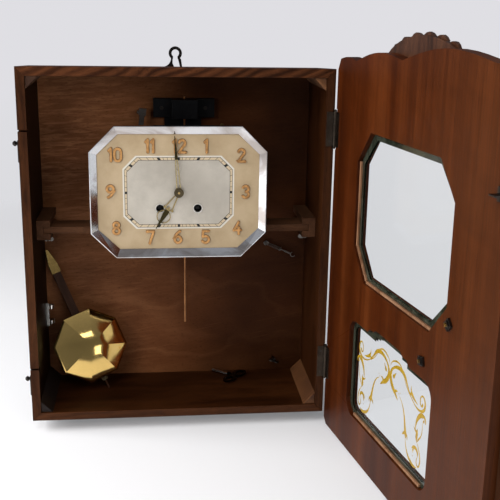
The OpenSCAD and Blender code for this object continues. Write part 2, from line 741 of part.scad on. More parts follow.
cannon_n = 12;
minute_n = 36;
minute_pin_n = 10;
hour_n = 40;
cannon_m = 2 * motion_dist / (cannon_n + minute_n);
hour_m = 2 * motion_dist / (minute_pin_n + hour_n);
cannon_pipe_r = 2.2;
hour_pipe_r = 3.4;
hand_t = 0.8;
nut_y0 = dial_y - 6.8;
minute_y = nut_y0 + 2;
hour_y = minute_y + 2.2;
cannon_y = front_y - 5;
hour_wheel_y = cannon_y - 3.5;
minute_turn = in_mesh(90, cannon_n, 0, minute_n);
minute_pin_turn = minute_turn;
hour_turn = in_mesh(270, minute_pin_n, minute_pin_turn, hour_n);

module cannon_pinion() color(steel) placed() difference() {
    union() {
        pinion(centre, cannon_y, 4.6, cannon_n, cannon_m, 0);
        bar_y(centre, minute_y + hand_t, cannon_y + 0.1, cannon_pipe_r);
    }
    bar_y(centre, minute_y - 1, front_y, centre_r + run_fit);
}
module minute_wheel() color(brass) placed() {
    difference() {
        union() {
            wheel(minute_at, cannon_y + 1.6, 1.4, minute_n, cannon_m, minute_turn, 4, 3.4);
            pinion(minute_at, hour_wheel_y - 0.6, 5.8, minute_pin_n, hour_m, minute_pin_turn);
        }
        bar_y(minute_at, hour_wheel_y - 2, front_y, pivot_r + run_fit);
    }
}
module hour_wheel() color(brass) placed() difference() {
    union() {
        wheel(centre, hour_wheel_y, 1.4, hour_n, hour_m, hour_turn, 0, 4);
        bar_y(centre, hour_y + hand_t, hour_wheel_y + 0.1, hour_pipe_r);
    }
    bar_y(centre, hour_y - 1, front_y, cannon_pipe_r + run_fit);
}
// Angles of the hands, clockwise from twelve
minute_angle = -4;
hour_angle = 212;
// Blade from r0 to r1, with half widths w0 and w1
module taper(r0, r1, w0, w1) polygon([[-w0, r0], [w0, r0], [w1, r1], [-w1, r1]]);
module rail(r0, x0, r1, x1, w) polygon([[x0 - w, r0], [x0 + w, r0], [x1 + w, r1], [x1 - w, r1]]);
module minute_hand() color(brass) placed() slab(minute_y, hand_t)
    translate(centre) rotate(-minute_angle) difference() {
        union() {
            circle(r = 4.4);
            for (s = [-1, 1]) rail(3.2, s * 2.1, minute_len * 0.6, s * 0.95, 0.62);
            taper(minute_len * 0.57, minute_len * 0.645, 1.15, 1.66);
            taper(minute_len * 0.63, minute_len, 1.62, 0.25);
        }
        circle(r = centre_r + run_fit);
    }
module hour_hand() color(brass) placed() slab(hour_y, hand_t)
    translate(centre) rotate(-hour_angle) {
        ring_mid = hour_len * 0.66;
        difference() {
            union() {
                circle(r = 5);
                for (s = [-1, 1]) {
                    rail(4, s * 1.4, hour_len * 0.44, s * 4.4, 0.7);
                    translate([s * 5, hour_len * 0.45]) circle(r = 1.5, $fn = 24);
                }
                taper(hour_len * 0.4, hour_len * 0.56, 0.8, 3);
                taper(hour_len * 0.558, hour_len, 3, 0.25);
                polygon([[-5, hour_len * 0.45], [5, hour_len * 0.45], [0, hour_len * 0.52]]);
            }
            circle(r = hour_pipe_r - 0.6);
        }
        translate([0, ring_mid]) difference() {
            circle(r = 8);
            circle(r = 7);
        }
    }
module hand_nut() color(brass) placed() difference() {
    union() {
        bar_y(centre, nut_y0 + 0.6, minute_y, 5.5);
        bar_y(centre, nut_y0, nut_y0 + 0.7, 3.6);
    }
    bar_y(centre, nut_y0 - 1, minute_y + 1, centre_r + run_fit);
}

// Going train and strike train between the plates

going_dir = atan2(centre[1] - wind_right[1], centre[0] - wind_right[0]);
drum_y0 = inner_y + 5;
drum_y1 = rear_y - 7;
great_t = 2;
centre_turn = in_mesh(going_dir, barrel_n, 0, drive_n);
third_turn = in_mesh(third_dir, centre_n, centre_turn, pin_n);
escape_turn = in_mesh(escape_dir, third_n, third_turn, pin_n);
strike_turn = in_mesh(strike_dir, barrel_n, 0, drive_n);
fly_turn = in_mesh(fly_dir, strike_n, strike_turn, pin_n);

// Spring barrel with its toothed rim and its coiled mainspring, closed by its cap
module barrel(p, gear_y) difference() {
    union() {
        bar_y(p, drum_y0, drum_y1, barrel_r);
        wheel(p, gear_y, great_t, barrel_n, barrel_m, 0, 0, 4);
        bar_y(p, min(gear_y, drum_y0), max(gear_y + great_t, drum_y1), barrel_r - 3);
    }
    bar_y(p, inner_y - 1, rear_y + 1, wind_r + run_fit);
}
module going_barrel() color(brass) placed() barrel(wind_right, drum_y1 + 1);
module strike_barrel() color(brass) placed() barrel(wind_left, drum_y0 - 1 - great_t);

module centre_wheel() color(brass) placed() {
    bar_y(centre, nut_y0 - 0.2, rear_y - 1, centre_r);
    bar_y(centre, rear_y - 1.1, behind_y + 0.4, pivot_r);
    pinion(centre, drum_y1 + 0.6, 3, drive_n, barrel_m, centre_turn);
    wheel(centre, drum_y1 + 4.4, 1.2, centre_n, centre_m, centre_turn, 4, 4);
    bar_y(centre, drum_y1 + 3.4, drum_y1 + 4.5, 3);
}
module arbor(p, r) {
    bar_y(p, inner_y + 0.4, rear_y - 0.4, r);
    bar_y(p, front_y - 0.3, behind_y + 0.3, pivot_r);
}
module third_wheel() color(brass) placed() {
    arbor(third_at, 1.1);
    pinion(third_at, drum_y1 + 3.2, 3, pin_n, centre_m, third_turn);
    wheel(third_at, drum_y1 - 3, 1.2, third_n, third_m, third_turn, 4, 3);
}
module escape_wheel() color(brass) placed() {
    arbor(escape_at, 1.1);
    pinion(escape_at, drum_y1 - 4.4, 4, pin_n, third_m, escape_turn);
    slab(drum_y1 - 12, 1.2) translate(escape_at) difference() {
        polygon([for (i = [0 : escape_n - 1]) for (k = [0, 1])
            let (a = (i + k * 0.22) * 360 / escape_n, r = escape_r - 2.4 * k) [r * cos(a), r * sin(a)]]);
        difference() {
            circle(r = escape_r - 4.4);
            circle(r = 3);
            for (i = [0 : 3]) rotate(i * 90) translate([0, -0.8]) square([escape_r, 1.6]);
        }
    }
}
module strike_wheel() color(brass) placed() {
    arbor(strike_at, 1.3);
    pinion(strike_at, drum_y0 - 1.4 - great_t, 2.8, drive_n, barrel_m, strike_turn);
    wheel(strike_at, drum_y1 + 2.4, 1.2, strike_n, strike_m, strike_turn, 4, 4);
    // Lifting pins
    for (i = [0 : 7]) bar_y(polar(strike_at, 13.5, i * 45 + 22.5), drum_y1 + 0.4, drum_y1 + 2.5, 0.7);
}
module strike_fly() color(brass) placed() {
    arbor(fly_at, 1);
    pinion(fly_at, drum_y1 + 1.4, 3, pin_n, strike_m, fly_turn);
    translate([fly_at[0], 0, fly_at[1]]) rotate([0, 20, 0]) {
        box(-9, 9, drum_y0, drum_y0 + 13, -0.35, 0.35);
        box(-1.6, 1.6, drum_y0 + 2, drum_y0 + 11, -1.6, 1.6);
    }
}
// Winding arbors with their squares and ratchet wheels
square_w = 3.6;
ratchet_r = 8.2;
module winding_arbor(p) {
    bar_y(p, front_y - 6, behind_y + 0.5, wind_r);
    translate([p[0] - square_w / 2, dial_y + dial_t + 1.6, p[1] - square_w / 2])
        cube([square_w, front_y - 5.9 - dial_y - dial_t - 1.6, square_w]);
    slab(front_y - 2.6, 2) translate(p) polygon([for (i = [0 : 19]) for (k = [0, 1])
        let (a = (i + k * 0.3) * 18, r = ratchet_r - 1.4 * k) [r * cos(a), r * sin(a)]]);
}
module going_arbor() color(steel) placed() winding_arbor(wind_right);
module strike_arbor() color(steel) placed() winding_arbor(wind_left);

// Hammer on its arbor: a cranked flat arm behind the movement, a steel head with a side screw
hammer_arm_y = gong_y - 1.5;
hammer_lean = 7.14;
module hammer() color(steel) placed() {
    bar_y(hammer_at, front_y - 0.3, hammer_arm_y + 3, hammer_arbor_r);
    translate([hammer_at[0], 0, hammer_at[1]]) rotate([0, hammer_lean, 0]) {
        translate([0, hammer_arm_y + 3, 0]) rotate([90, 0, 0]) cylinder(r = 4, h = 3);
        box(-3, 3, hammer_arm_y, hammer_arm_y + 3, 0, hammer_reach - 3);
        box(-4.5, 4.5, gong_y - 4, gong_y + 4, hammer_reach - 4, hammer_reach + 4);
        bar_x(gong_y, hammer_reach - 1, -6.6, -4.4, 1.9);
    }
    // Tail that the lifting pins push
    slab(drum_y1 + 0.6, 1.8) translate(hammer_at)
        rotate(atan2(strike_at[1] - hammer_at[1], strike_at[0] - hammer_at[0]))
            translate([0, -1.2]) square([3.9, 2.4]);
}

// Anchor pallets with their crutch
anchor_y = drum_y1 - 12.6;
anchor_gap = 0.9;
crutch_y = behind_y + 3.5;
fork_z = dial_z - 14;
module pallets() color(steel) placed() {
    bar_y(pallet_at, inner_y + 0.4, rear_y - 0.4, 1.1);
    bar_y(pallet_at, front_y - 0.3, inner_y + 0.5, pivot_r);
    bar_y(pallet_at, rear_y - 0.5, crutch_y + 1, pivot_r);
    slab(anchor_y, 2.4) {
        translate(escape_at) intersection() {
            difference() {
                circle(r = escape_r + anchor_gap + 2.2);
                circle(r = escape_r + anchor_gap);
            }
            polygon([[0, 0], [-16, 13.4], [-16, 20], [16, 20], [16, 13.4]]);
        }
        translate(pallet_at) circle(r = 3);
        translate(pallet_at + [-1.5, -2.5]) square([3, 2.5]);
    }
    slab(crutch_y, 1) {
        translate(pallet_at) circle(r = 2.6);
        translate([pallet_at[0] - 0.9, fork_z]) square([1.8, pallet_at[1] - fork_z]);
    }
    // Fork round the leader
    translate([pallet_at[0], 0, fork_z]) difference() {
        box(-3, 3, crutch_y, leader_y + 3, -1, 1);
        box(-leader_r - 0.15, leader_r + 0.15, leader_y - leader_r - 0.15, leader_y + 4, -2, 2);
    }
}
// Suspension cock on the back plate, with the upper half of the suspension spring
cock_t = 2;
cock_z = pallet_at[1] + 9;
cock_screw_xs = [-9, 9];
leader_y = behind_y + 10;
leader_r = 1;
spring_t = 0.3;
module suspension_cock() color(brass) placed() {
    difference() {
        union() {
            box(pallet_at[0] - 13, pallet_at[0] + 13, behind_y, behind_y + cock_t, cock_z - 3.5, cock_z + 4);
            box(pallet_at[0] - 4, pallet_at[0] + 4, behind_y, leader_y + 3, cock_z - 3.5, cock_z + 3);
        }
        for (x = cock_screw_xs) bar_y([x, cock_z], behind_y - 1, behind_y + cock_t + 1, screw_r + seat_fit);
    }
    box(pallet_at[0] - spring_t / 2, pallet_at[0] + spring_t / 2, leader_y - 2, leader_y + 2,
        pallet_at[1] + 0.1, cock_z - 3.5);
}
leader_low = seat_z - 14;
module pendulum_leader() color(steel) placed() translate([pallet_at[0], leader_y, 0]) {
    box(-spring_t / 2, spring_t / 2, -2, 2, pallet_at[1] - 7, pallet_at[1] - 0.1);
    box(-2.2, 2.2, -1.6, 1.6, pallet_at[1] - 11, pallet_at[1] - 6.9);
    bar_z(0, 0, leader_low, pallet_at[1] - 10.9, leader_r);
    // Hook that takes the pendulum's pointed top
    translate([0, 0, leader_low]) difference() {
        box(-3, 3, -1, 1, -9, 0.5);
        box(-1.6, 4, -2, 2, -6.5, -3);
    }
}
// Brass lever behind the back plate that lets the strike repeat
lever_at = [50, plate_z1 - 15];
lever_y = behind_y + 2;
module strike_lever() color(brass) placed() {
    bar_y(lever_at, rear_y - 0.5, lever_y + 1.4, 1.2);
    slab(lever_y, 1.2) {
        translate(lever_at) circle(r = 4);
        for (leg = [[lever_at, lever_at + [13, 22]], [lever_at + [13, 22], lever_at + [5, 27]]])
            translate(leg[0]) rotate(atan2(leg[1][1] - leg[0][1], leg[1][0] - leg[0][0]))
                translate([0, -1.5]) square([norm(leg[1] - leg[0]), 3]);
        translate(lever_at + [13, 22]) circle(r = 1.5);
        translate(lever_at + [4, 27.5]) circle(r = 2.6);
    }
}

// Door, drawn closed and then swung open

module door_pose() translate([hinge_x, hinge_y, 0]) rotate([0, 0, door_open])
    translate([-hinge_x, -hinge_y, 0]) children();

door_y1 = -door_gap;
door_y0 = door_y1 - door_t;
door_x1 = case_w / 2;
door_x0 = -case_w / 2 - door_over;
door_mid = (door_x0 + door_x1) / 2;
// Dips of the wavy top edge, as distances from the hinge edge and heights over the case
crest_dips = [[7, 12], [50, 12.2], [159, 20], [322, 29], [door_x1 - door_x0 - 7, 20]];
crest_rise = [3, 8, 11, 3];
corner_cut = 7;
// Points of one bulging lobe between two dips
function lobe(a, b, rise) = [for (i = [0 : 9]) let (t = i / 10)
    [a[0] + (b[0] - a[0]) * t, a[1] + (b[1] - a[1]) * t + rise * sin(180 * t)]];
crest_line = concat([for (k = [0 : 3]) each lobe(crest_dips[k], crest_dips[k + 1], crest_rise[k])],
    [crest_dips[4]]);
module board_outline() polygon(concat(
    [for (p = crest_line) [door_x1 - p[0], case_h + p[1]]],
    [[door_x0, case_h + 8], [door_x0, -door_under + corner_cut], [door_x0 + corner_cut, -door_under],
        [door_x1 - corner_cut, -door_under], [door_x1, -door_under + corner_cut], [door_x1, case_h]]));

upper_at = [3, dial_z + 1.5];
upper_cx = 30;
upper_cz = 34;
module upper_outline(grow) translate(upper_at)
    polygon(octagon(upper_w + 2 * grow, upper_h + 2 * grow, upper_cx + grow * 0.6, upper_cz + grow * 0.6));

// Lower window: rounded foot and shoulders, and a raised middle with small steps
lower_at = [10.5, 34.5];
lower_raise = 8.5;
lower_round = 16;
module lower_outline(grow) translate(lower_at) {
    w = lower_w / 2 + grow;
    r = lower_round + grow;
    for (s = [-1, 1]) {
        translate([s * (w - r), lower_h + grow - r]) circle(r = r);
        translate([s * (w - r), r - grow]) circle(r = r);
    }
    translate([-w, r - grow]) square([2 * w, lower_h + 2 * grow - 2 * r]);
    translate([-w + r, -grow]) square([2 * (w - r), lower_h + 2 * grow]);
    polygon([[-50 - grow, lower_h - 12], [50 + grow, lower_h - 12], [50 + grow, lower_h + grow],
        [44 + grow, lower_h + 5 + grow], [34 + grow, lower_h + 5 + grow],
        [30 + grow, lower_h + lower_raise + grow], [-30 - grow, lower_h + lower_raise + grow],
        [-34 - grow, lower_h + 5 + grow], [-44 - grow, lower_h + 5 + grow], [-50 - grow, lower_h + grow]]);
}
// Rebate depth from the inner face; the glass lies against its front ledge
sight_t = 3;
module door_board() color(walnut) placed() door_pose() difference() {
    slab(door_y0, door_t) board_outline();
    slab(door_y0 - 1, door_t + 2) upper_outline(-glass_rebate);
    slab(door_y0 - 1, door_t + 2) lower_outline(-glass_rebate);
    slab(door_y0 + sight_t, door_t) upper_outline(0);
    slab(door_y0 + sight_t, door_t) lower_outline(0);
    for (p = pull_studs) bar_y(p, door_y0 - 1, door_y1 + 1, 2 + seat_fit);
    knuckle_room();
    for (z = hinge_zs) for (dz = leaf_screw_dz)
        bar_y([leaf_x, z + dz], door_y1 - 8, door_y1 + 1, screw_r + seat_fit);
    for (z = slot_zs) bar_y([tongue_screw_x, z], door_y1 - 8, door_y1 + 1, screw_r + seat_fit);
}
glass_y0 = door_y0 + sight_t + 0.1;
glass_tint = [0.75, 0.85, 0.82, 0.35];
module upper_glass() color(glass_tint) placed() door_pose() slab(glass_y0, glass_t) upper_outline(-0.4);
module lower_glass() color(glass_tint) placed() door_pose() slab(glass_y0, glass_t) lower_outline(-0.4);

// Wooden beads that hold the glass, one strip along each side that still has one
bead_t = 3;
bead_y0 = glass_y0 + glass_t + 0.05;
bead_h = 2.5;
module strip(a, b) translate(a) rotate(atan2(b[1] - a[1], b[0] - a[0])) square([norm(b - a), bead_t]);
module glazing_beads() color(raw_wood) placed() door_pose() slab(bead_y0, bead_h) {
    w = upper_w / 2 - 0.3;
    h = upper_h / 2 - 0.3;
    translate(upper_at) {
        translate([w - bead_t, -h + upper_cz]) square([bead_t, 2 * h - 2 * upper_cz]);
        strip([w - upper_cx + 1, -h + 1.6], [w - 1.4, -h + upper_cz - 1]);
        translate([-w + upper_cx + 1, -h]) square([2 * w - 2 * upper_cx - 2, bead_t]);
    }
    translate(lower_at) translate([-lower_w / 2 + lower_round, 0.4])
        square([lower_w - 2 * lower_round, bead_t]);
}

// Rounded moulding on the door's front, all round, and a carved fan in the middle of the crest
mould_w = 16;
mould_t = 8;
mould_out = 8;
module mould_bar(l) translate([0, 0, -l / 2]) linear_extrude(l) difference() {
    union() {
        translate([-mould_w / 2, 0]) square([mould_w, mould_t / 2]);
        translate([0, mould_t / 2]) scale([1, 1]) intersection() {
            translate([0, -12]) circle(r = 16);
            translate([-mould_w / 2, 0]) square([mould_w, mould_t]);
        }
    }
}
fan_w = 90;
fan_h = 40;
fan_ribs = 11;
// Point of the fan's rim at angle a
function fan_point(a, grow) = [(fan_w + grow) * cos(a), (fan_h + grow) * sin(a)];
module fan() translate([door_mid, door_y0, case_h + 3.9]) {
    slab(-3, 3) polygon([for (i = [0 : 24]) fan_point(i * 7.5, 0)]);
    for (i = [0 : fan_ribs - 1]) let (a = (i + 0.5) * 180 / fan_ribs, h = 74 / fan_ribs)
        slab(-6, 3.1) polygon([0.24 * fan_point(a - h, 0), fan_point(a - h, 0), fan_point(a - h / 2, 2.4),
            fan_point(a, 3.4), fan_point(a + h / 2, 2.4), fan_point(a + h, 0), 0.24 * fan_point(a + h, 0)]);
    slab(-7, 7) intersection() {
        scale([1, 0.8]) circle(r = 19);
        translate([-30, 0]) square([60, 30]);
    }
}
module door_mouldings() color(walnut) placed() door_pose() {
    fan();
    z0 = -door_under - 2;
    z1 = case_h + 4;
    x0 = door_x0 - mould_out;
    x1 = door_x1 + mould_out;
    translate([x0 + mould_w / 2, door_y0, (z0 + z1) / 2]) mirror([0, 1, 0]) mould_bar(z1 - z0);
    translate([x1 - mould_w / 2, door_y0, (z0 + z1) / 2]) mirror([0, 1, 0]) mould_bar(z1 - z0);
    translate([(x0 + x1) / 2, door_y0, z0 + mould_w / 2]) rotate([0, 90, 0]) mirror([0, 1, 0])
        mould_bar(x1 - x0 - 2 * mould_w);
    translate([(x0 + x1) / 2, door_y0, z1 - mould_w / 2]) rotate([0, 90, 0]) mirror([0, 1, 0])
        mould_bar(x1 - x0 - 2 * mould_w);
}

// Pull on the front near the free edge: a slanted brass bar on two studs with square nuts inside
pull_studs = [[-109, 217], [-65, 165]];
pull_dir = atan2(pull_studs[1][1] - pull_studs[0][1], pull_studs[1][0] - pull_studs[0][0]);
pull_len = norm(pull_studs[1] - pull_studs[0]) + 22;
pull_mid = (pull_studs[0] + pull_studs[1]) / 2;
pull_out = 16;
module door_pull() color(brass) placed() door_pose() {
    for (p = pull_studs) {
        bar_y(p, door_y0 - pull_out, door_y1 + 4.5, 2);
        bar_y(p, door_y0 - pull_out, door_y0, 4);
    }
    translate([pull_mid[0], door_y0 - pull_out - 1, pull_mid[1]]) rotate([0, -pull_dir, 0])
        rotate([0, 90, 0]) cylinder(r = 4.5, h = pull_len, center = true);
}
nut_w = 9;
module square_nut(p, turn) translate([p[0], door_y1, p[1]]) rotate([0, turn, 0]) difference() {
    union() {
        box(-nut_w / 2, nut_w / 2, 0, 2.4, -nut_w / 2, nut_w / 2);
        box(-nut_w / 3, nut_w / 3, 2.3, 3.6, -nut_w / 3, nut_w / 3);
    }
    translate([0, 5, 0]) rotate([90, 0, 0]) cylinder(r = 2 + seat_fit, h = 8);
}
tongue_screw_x = -case_w / 2 - door_over + 4;
module door_fixings() color(dark_steel) placed() door_pose() {
    square_nut(pull_studs[0], 45);
    square_nut(pull_studs[1], 12);
    for (z = hinge_zs) for (dz = leaf_screw_dz)
        bar_y([leaf_x, z + dz], door_y1 - 7.5, door_y1 + leaf_t, screw_r);
    for (z = slot_zs) translate([0, 2 * door_y1 + 1.4, 0]) mirror([0, 1, 0])
        screw_y([tongue_screw_x, z], door_y1 - 0.8, 9, 1);
}
// Flat tongues that enter the saw cuts, with a foot screwed to the door
tongue_t = 1.4;
module door_tongues() color(steel) placed() door_pose() for (z = slot_zs) {
    difference() {
        box(door_x0 + 1, -case_w / 2 + 8, door_y1, door_y1 + 1.2, z - 6, z + 6);
        bar_y([tongue_screw_x, z], door_y1 - 1, door_y1 + 3, screw_r + seat_fit);
    }
    box(-case_w / 2 - 3.2, -case_w / 2 + 6, door_y1 + 1.1, 8, z - tongue_t / 2, z + tongue_t / 2);
}
// Hooks on the outside of the left side, that swing up behind the tongues
hook_x0 = -case_w / 2 - 1.9;
module side_hook(z) color(dark_steel) placed() translate([hook_x0, hook_y, z - hook_drop])
    rotate([0, 90, 0]) linear_extrude(1.4) difference() {
        union() {
            circle(r = 3.6);
            translate([0, -2.4]) square([hook_drop + 4, 4.8]);
            translate([hook_drop + 4, 0]) circle(r = 2.4);
        }
        circle(r = hook_pin_r + run_fit);
        translate([hook_drop - 1.3, -0.4]) square([2.6, 4]);
    }
module side_hook_upper() side_hook(slot_zs[0]);
module side_hook_lower() side_hook(slot_zs[1]);

// Transit hook that steadies the pendulum: a coil spring, a bright shank and a hook
coil_n = 10;
coil_r = 2;
coil_wire = 0.8;
coil_pitch = 1.7;
coil_len = coil_n * coil_pitch;
coil_sides = 6;
coil_rings = coil_n * 8;
// Centre line of the spring, wound along +X, and its tube
function coil_point(i) = let (a = i * 45) [i / 8 * coil_pitch, coil_r * cos(a), coil_r * sin(a)];
coil_line = concat([coil_point(0) - [coil_wire, 0, 0]], [for (i = [0 : coil_rings]) coil_point(i)],
    [coil_point(coil_rings) + [coil_wire, 0, 0]]);
function unit(v) = v / norm(v);
function coil_way(i) = i == 0 || i == len(coil_line) - 1 ? [1, 0, 0]
    : unit(coil_line[i + 1] - coil_line[i - 1]);
function ring(i) = let (c = coil_line[i], w = coil_way(i), out = unit([0, c[1], c[2]]),
    side = unit(cross(w, out)), up = cross(side, w))
    [for (k = [0 : coil_sides - 1]) c + coil_wire / 2 * (cos(k * 60) * up + sin(k * 60) * side)];
module swept_coil() {
    last = len(coil_line) - 1;
    points = [for (i = [0 : last]) each ring(i)];
    sides = [for (i = [0 : last - 1]) for (k = [0 : coil_sides - 1]) let (n = (k + 1) % coil_sides)
        for (f = [[i * coil_sides + k, i * coil_sides + n, (i + 1) * coil_sides + n],
            [i * coil_sides + k, (i + 1) * coil_sides + n, (i + 1) * coil_sides + k]]) f];
    caps = [for (k = [1 : coil_sides - 2]) for (f = [[0, k + 1, k],
        [last * coil_sides, last * coil_sides + k, last * coil_sides + k + 1]]) f];
    polyhedron(points = points, faces = [for (f = concat(sides, caps)) [f[0], f[2], f[1]]]);
}
// Least gap between neighbouring turns, on the centre line's points
coil_gap = min([for (i = [0 : 7]) for (j = [i + 5 : i + 11])
    norm(coil_point(j) - coil_point(i)) - coil_wire]);
echo(coil_gap = coil_gap);

transit_drop = 24;
shank_len = 16;
bow_r = 3;
module transit_hook() color(steel) placed()
    translate([transit_eye[0], hook_plane, transit_eye[1]]) rotate([0, transit_drop, 0]) {
        // Flat loop on the screw
        difference() {
            bar_y([0, 0], -0.7, 0.7, 2.9);
            bar_y([0, 0], -2, 2, screw_r + run_fit);
        }
        translate([2.75, 0, 0]) rotate([90, 0, 0]) swept_coil();
        translate([2.75 + coil_len + 0.2, 0, 0]) rotate([0, 90, 0]) {
            cylinder(r = coil_r + 0.6, h = 1);
            cylinder(r = 0.7, h = shank_len);
            translate([0, 0, shank_len * 0.45]) cylinder(r = 1.2, h = shank_len * 0.4);
        }
        // Open bow at the end
        translate([2.75 + coil_len + shank_len + bow_r - 0.2, 0, 0]) rotate([90, 0, 0]) rotate(130)
            rotate_extrude(angle = 220) translate([bow_r, 0]) circle(r = 0.55, $fn = 16);
    }

// Winding key lying on the bottom board
key_tip = [47.4, case_d - 3.5];
key_turn = -40.5;
key_shank = 27;
key_r = 3;
module winding_key() placed() translate([key_tip[0], key_tip[1], board_t + key_r + 0.02])
    rotate([0, 0, key_turn]) {
    color(steel) difference() {
        union() {
            rotate([0, 90, 0]) cylinder(r = key_r, h = key_shank);
            translate([12, 0, 0]) rotate([0, 90, 0]) cylinder(r = key_r - 0.01, h = 3);
        }
        translate([-0.1, -1.9, -1.9]) cube([9, 3.8, 3.8]);
    }
    color(black_iron) translate([key_shank, 0, -0.9]) linear_extrude(1.8) difference() {
        union() {
            translate([-2, -3]) square([8, 6]);
            for (s = [-1, 1]) translate([8, s * 11]) scale([0.8, 1.2]) circle(r = 9);
        }
        for (s = [-1, 1]) translate([8, s * 12]) scale([0.8, 1.2]) circle(r = 5);
    }
}

// Pendulum, upright from its threaded tip, then leaned into the left back corner
pend_tip = [board_t + 77.6 - case_w / 2, case_d - 46.3];
lean_back = -12;
lean_left = -23.9;
turn_right = 21;
tip_rise = 0.7;
bob_mid = bob_w / 2 + 17;
bob_r = bob_w / 2 / cos(22.5);
ferrule_len = 31;
thread_r = 1.4;
rod_t = 5;
rod_low = bob_mid - bob_w / 2 + 3;
rod_top = pend_len - ferrule_len + 13;
rivet_r = 1.1;
rivet_zs = [pend_len - ferrule_len + 4.5, pend_len - ferrule_len + 8.5];
module pend_pose() translate([pend_tip[0], pend_tip[1], board_t + tip_rise])
    rotate([0, lean_left, 0]) rotate([lean_back, 0, 0])
    rotate([0, 0, turn_right]) children();
module pendulum_rod() placed() pend_pose() {
    color(dark_walnut) difference() {
        box(-rod_w / 2, rod_w / 2, -rod_t / 2, rod_t / 2, rod_low, rod_top);
        bar_z(0, 0, rod_low - 1, rod_low + 26.5, thread_r + 0.01);
        for (z = rivet_zs) bar_y([0, z], -rod_t, rod_t, rivet_r + seat_fit);
    }
    color(steel) bar_z(0, 0, 0, rod_low + 26, thread_r);
}
// Folded brass ferrule with a pointed top and two rivets
module pendulum_ferrule() color(brass) placed() pend_pose() {
    base = pend_len - ferrule_len;
    half = rod_w / 2 + 0.5;
    difference() {
        slab(-rod_t / 2 - 0.85, rod_t + 1.7) polygon([[-half, base], [half, base], [half, base + 12],
            [1.2, pend_len], [-1.2, pend_len], [-half, base + 12]]);
        box(-half - 1, half + 1, -rod_t / 2 - 0.05, rod_t / 2 + 0.05, base - 1, rod_top + 0.1);
    }
    for (z = rivet_zs) bar_y([0, z], -rod_t / 2 - 1.3, rod_t / 2 + 1.3, rivet_r);
}
// Octagonal bob: a domed shell before the rod, a round body with the rod's channel, and a foot
dome = [0, 14, 30, 46, 62, 74];
dome_y = -rod_t / 2 - 3.6;
dome_h = bob_t - 9;
module pendulum_bob() color(brass) placed() pend_pose() translate([0, 0, bob_mid]) difference() {
    union() {
        translate([0, dome_y, 0]) rotate([90, 0, 0]) rotate(22.5) for (k = [0 : 4])
            translate([0, 0, dome_h * sin(dome[k])]) cylinder(r1 = bob_r * cos(dome[k]),
                r2 = bob_r * cos(dome[k + 1]), h = dome_h * (sin(dome[k + 1]) - sin(dome[k])), $fn = 8);
        translate([0, dome_y + 3, 0]) rotate([90, 0, 0]) rotate(22.5) cylinder(r = bob_r, h = 3, $fn = 8);
        bar_y([0, 0], dome_y + 2.9, rod_t / 2 + 1.3, bob_w * 0.35);
        box(-5, 5, dome_y + 0.5, rod_t / 2 + 1.3, -bob_w / 2 - 1.2, -bob_w / 2 + 0.1);
    }
    box(-rod_w / 2 - 0.1, rod_w / 2 + 0.1, -rod_t / 2 - 0.1, rod_t / 2 + 0.1, -bob_w / 2 + 0.1, bob_w);
    bar_z(0, 0, -bob_w / 2 - 2, -bob_w / 2 + 2, thread_r + 0.1);
}
nut_r = 3.7;
module rating_nut() color(brass) placed() pend_pose() difference() {
    bar_z(0, 0, bob_mid - bob_w / 2 - 5.25, bob_mid - bob_w / 2 - 1.25, nut_r);
    bar_z(0, 0, 0, 20, thread_r + run_fit);
    for (i = [0 : 9]) rotate(i * 36) translate([nut_r + 0.1, 0, 0]) bar_z(0, 0, 0, 20, 0.45);
}

case_left_side();
case_right_side();
case_top();
case_bottom();
back_panel();
corner_blocks();
seat_rails();
seat_board();
seat_thumb_screws();
hanger();
hinge_case_halves();
case_fixings();
gong_block();
gong_rod();
key_clip();
front_plate();
back_plate();
pillars();
movement_screws();
dial_plate();
numerals();
winding_rings();
bezel();
suspension_cock();
door_board();
door_mouldings();
door_pull();
door_fixings();
door_tongues();
hinge_door_halves();
upper_glass();
lower_glass();
glazing_beads();
side_hook_upper();
side_hook_lower();
minute_hand();
hand_nut();
cannon_pinion();
minute_wheel();
hour_wheel();
hour_hand();
going_barrel();
centre_wheel();
third_wheel();
escape_wheel();
strike_barrel();
strike_wheel();
strike_fly();
going_arbor();
strike_arbor();
hammer();
pallets();
pendulum_leader();
strike_lever();
transit_hook();
winding_key();
pendulum_rod();
pendulum_ferrule();
pendulum_bob();
rating_nut();
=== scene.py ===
import math

import bmesh
import bpy
from mathutils import Matrix, Vector


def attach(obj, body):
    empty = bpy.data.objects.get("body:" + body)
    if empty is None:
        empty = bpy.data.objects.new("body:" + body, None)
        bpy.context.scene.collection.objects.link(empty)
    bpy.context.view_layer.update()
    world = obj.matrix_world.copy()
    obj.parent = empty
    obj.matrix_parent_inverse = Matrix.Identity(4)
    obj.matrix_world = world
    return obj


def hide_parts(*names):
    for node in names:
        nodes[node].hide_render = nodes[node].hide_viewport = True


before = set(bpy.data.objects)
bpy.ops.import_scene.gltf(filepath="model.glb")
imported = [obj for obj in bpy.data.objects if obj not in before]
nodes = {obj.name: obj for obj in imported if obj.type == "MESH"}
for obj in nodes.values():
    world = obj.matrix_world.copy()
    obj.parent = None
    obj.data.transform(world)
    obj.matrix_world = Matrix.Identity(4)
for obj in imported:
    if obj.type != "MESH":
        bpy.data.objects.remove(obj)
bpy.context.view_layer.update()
print("clock frame loaded:", len(nodes), "nodes")


# places: case millimetres to the clock's own frame in metres
placing = {
    "wallPlane": 117.0,      # depth of the back panel's rear face
    "hangerHeight": 424.0,   # height of the hanger's eye over the case's underside
    "dialHeight": 275.5,
    "dialFace": 8.0,
    "hinge": (175.6, -1.0),
    "doorAngle": 100.0,
}


def fromCase(x, y, z):
    return Vector((x, y - placing["wallPlane"], z - placing["hangerHeight"])) / 1000


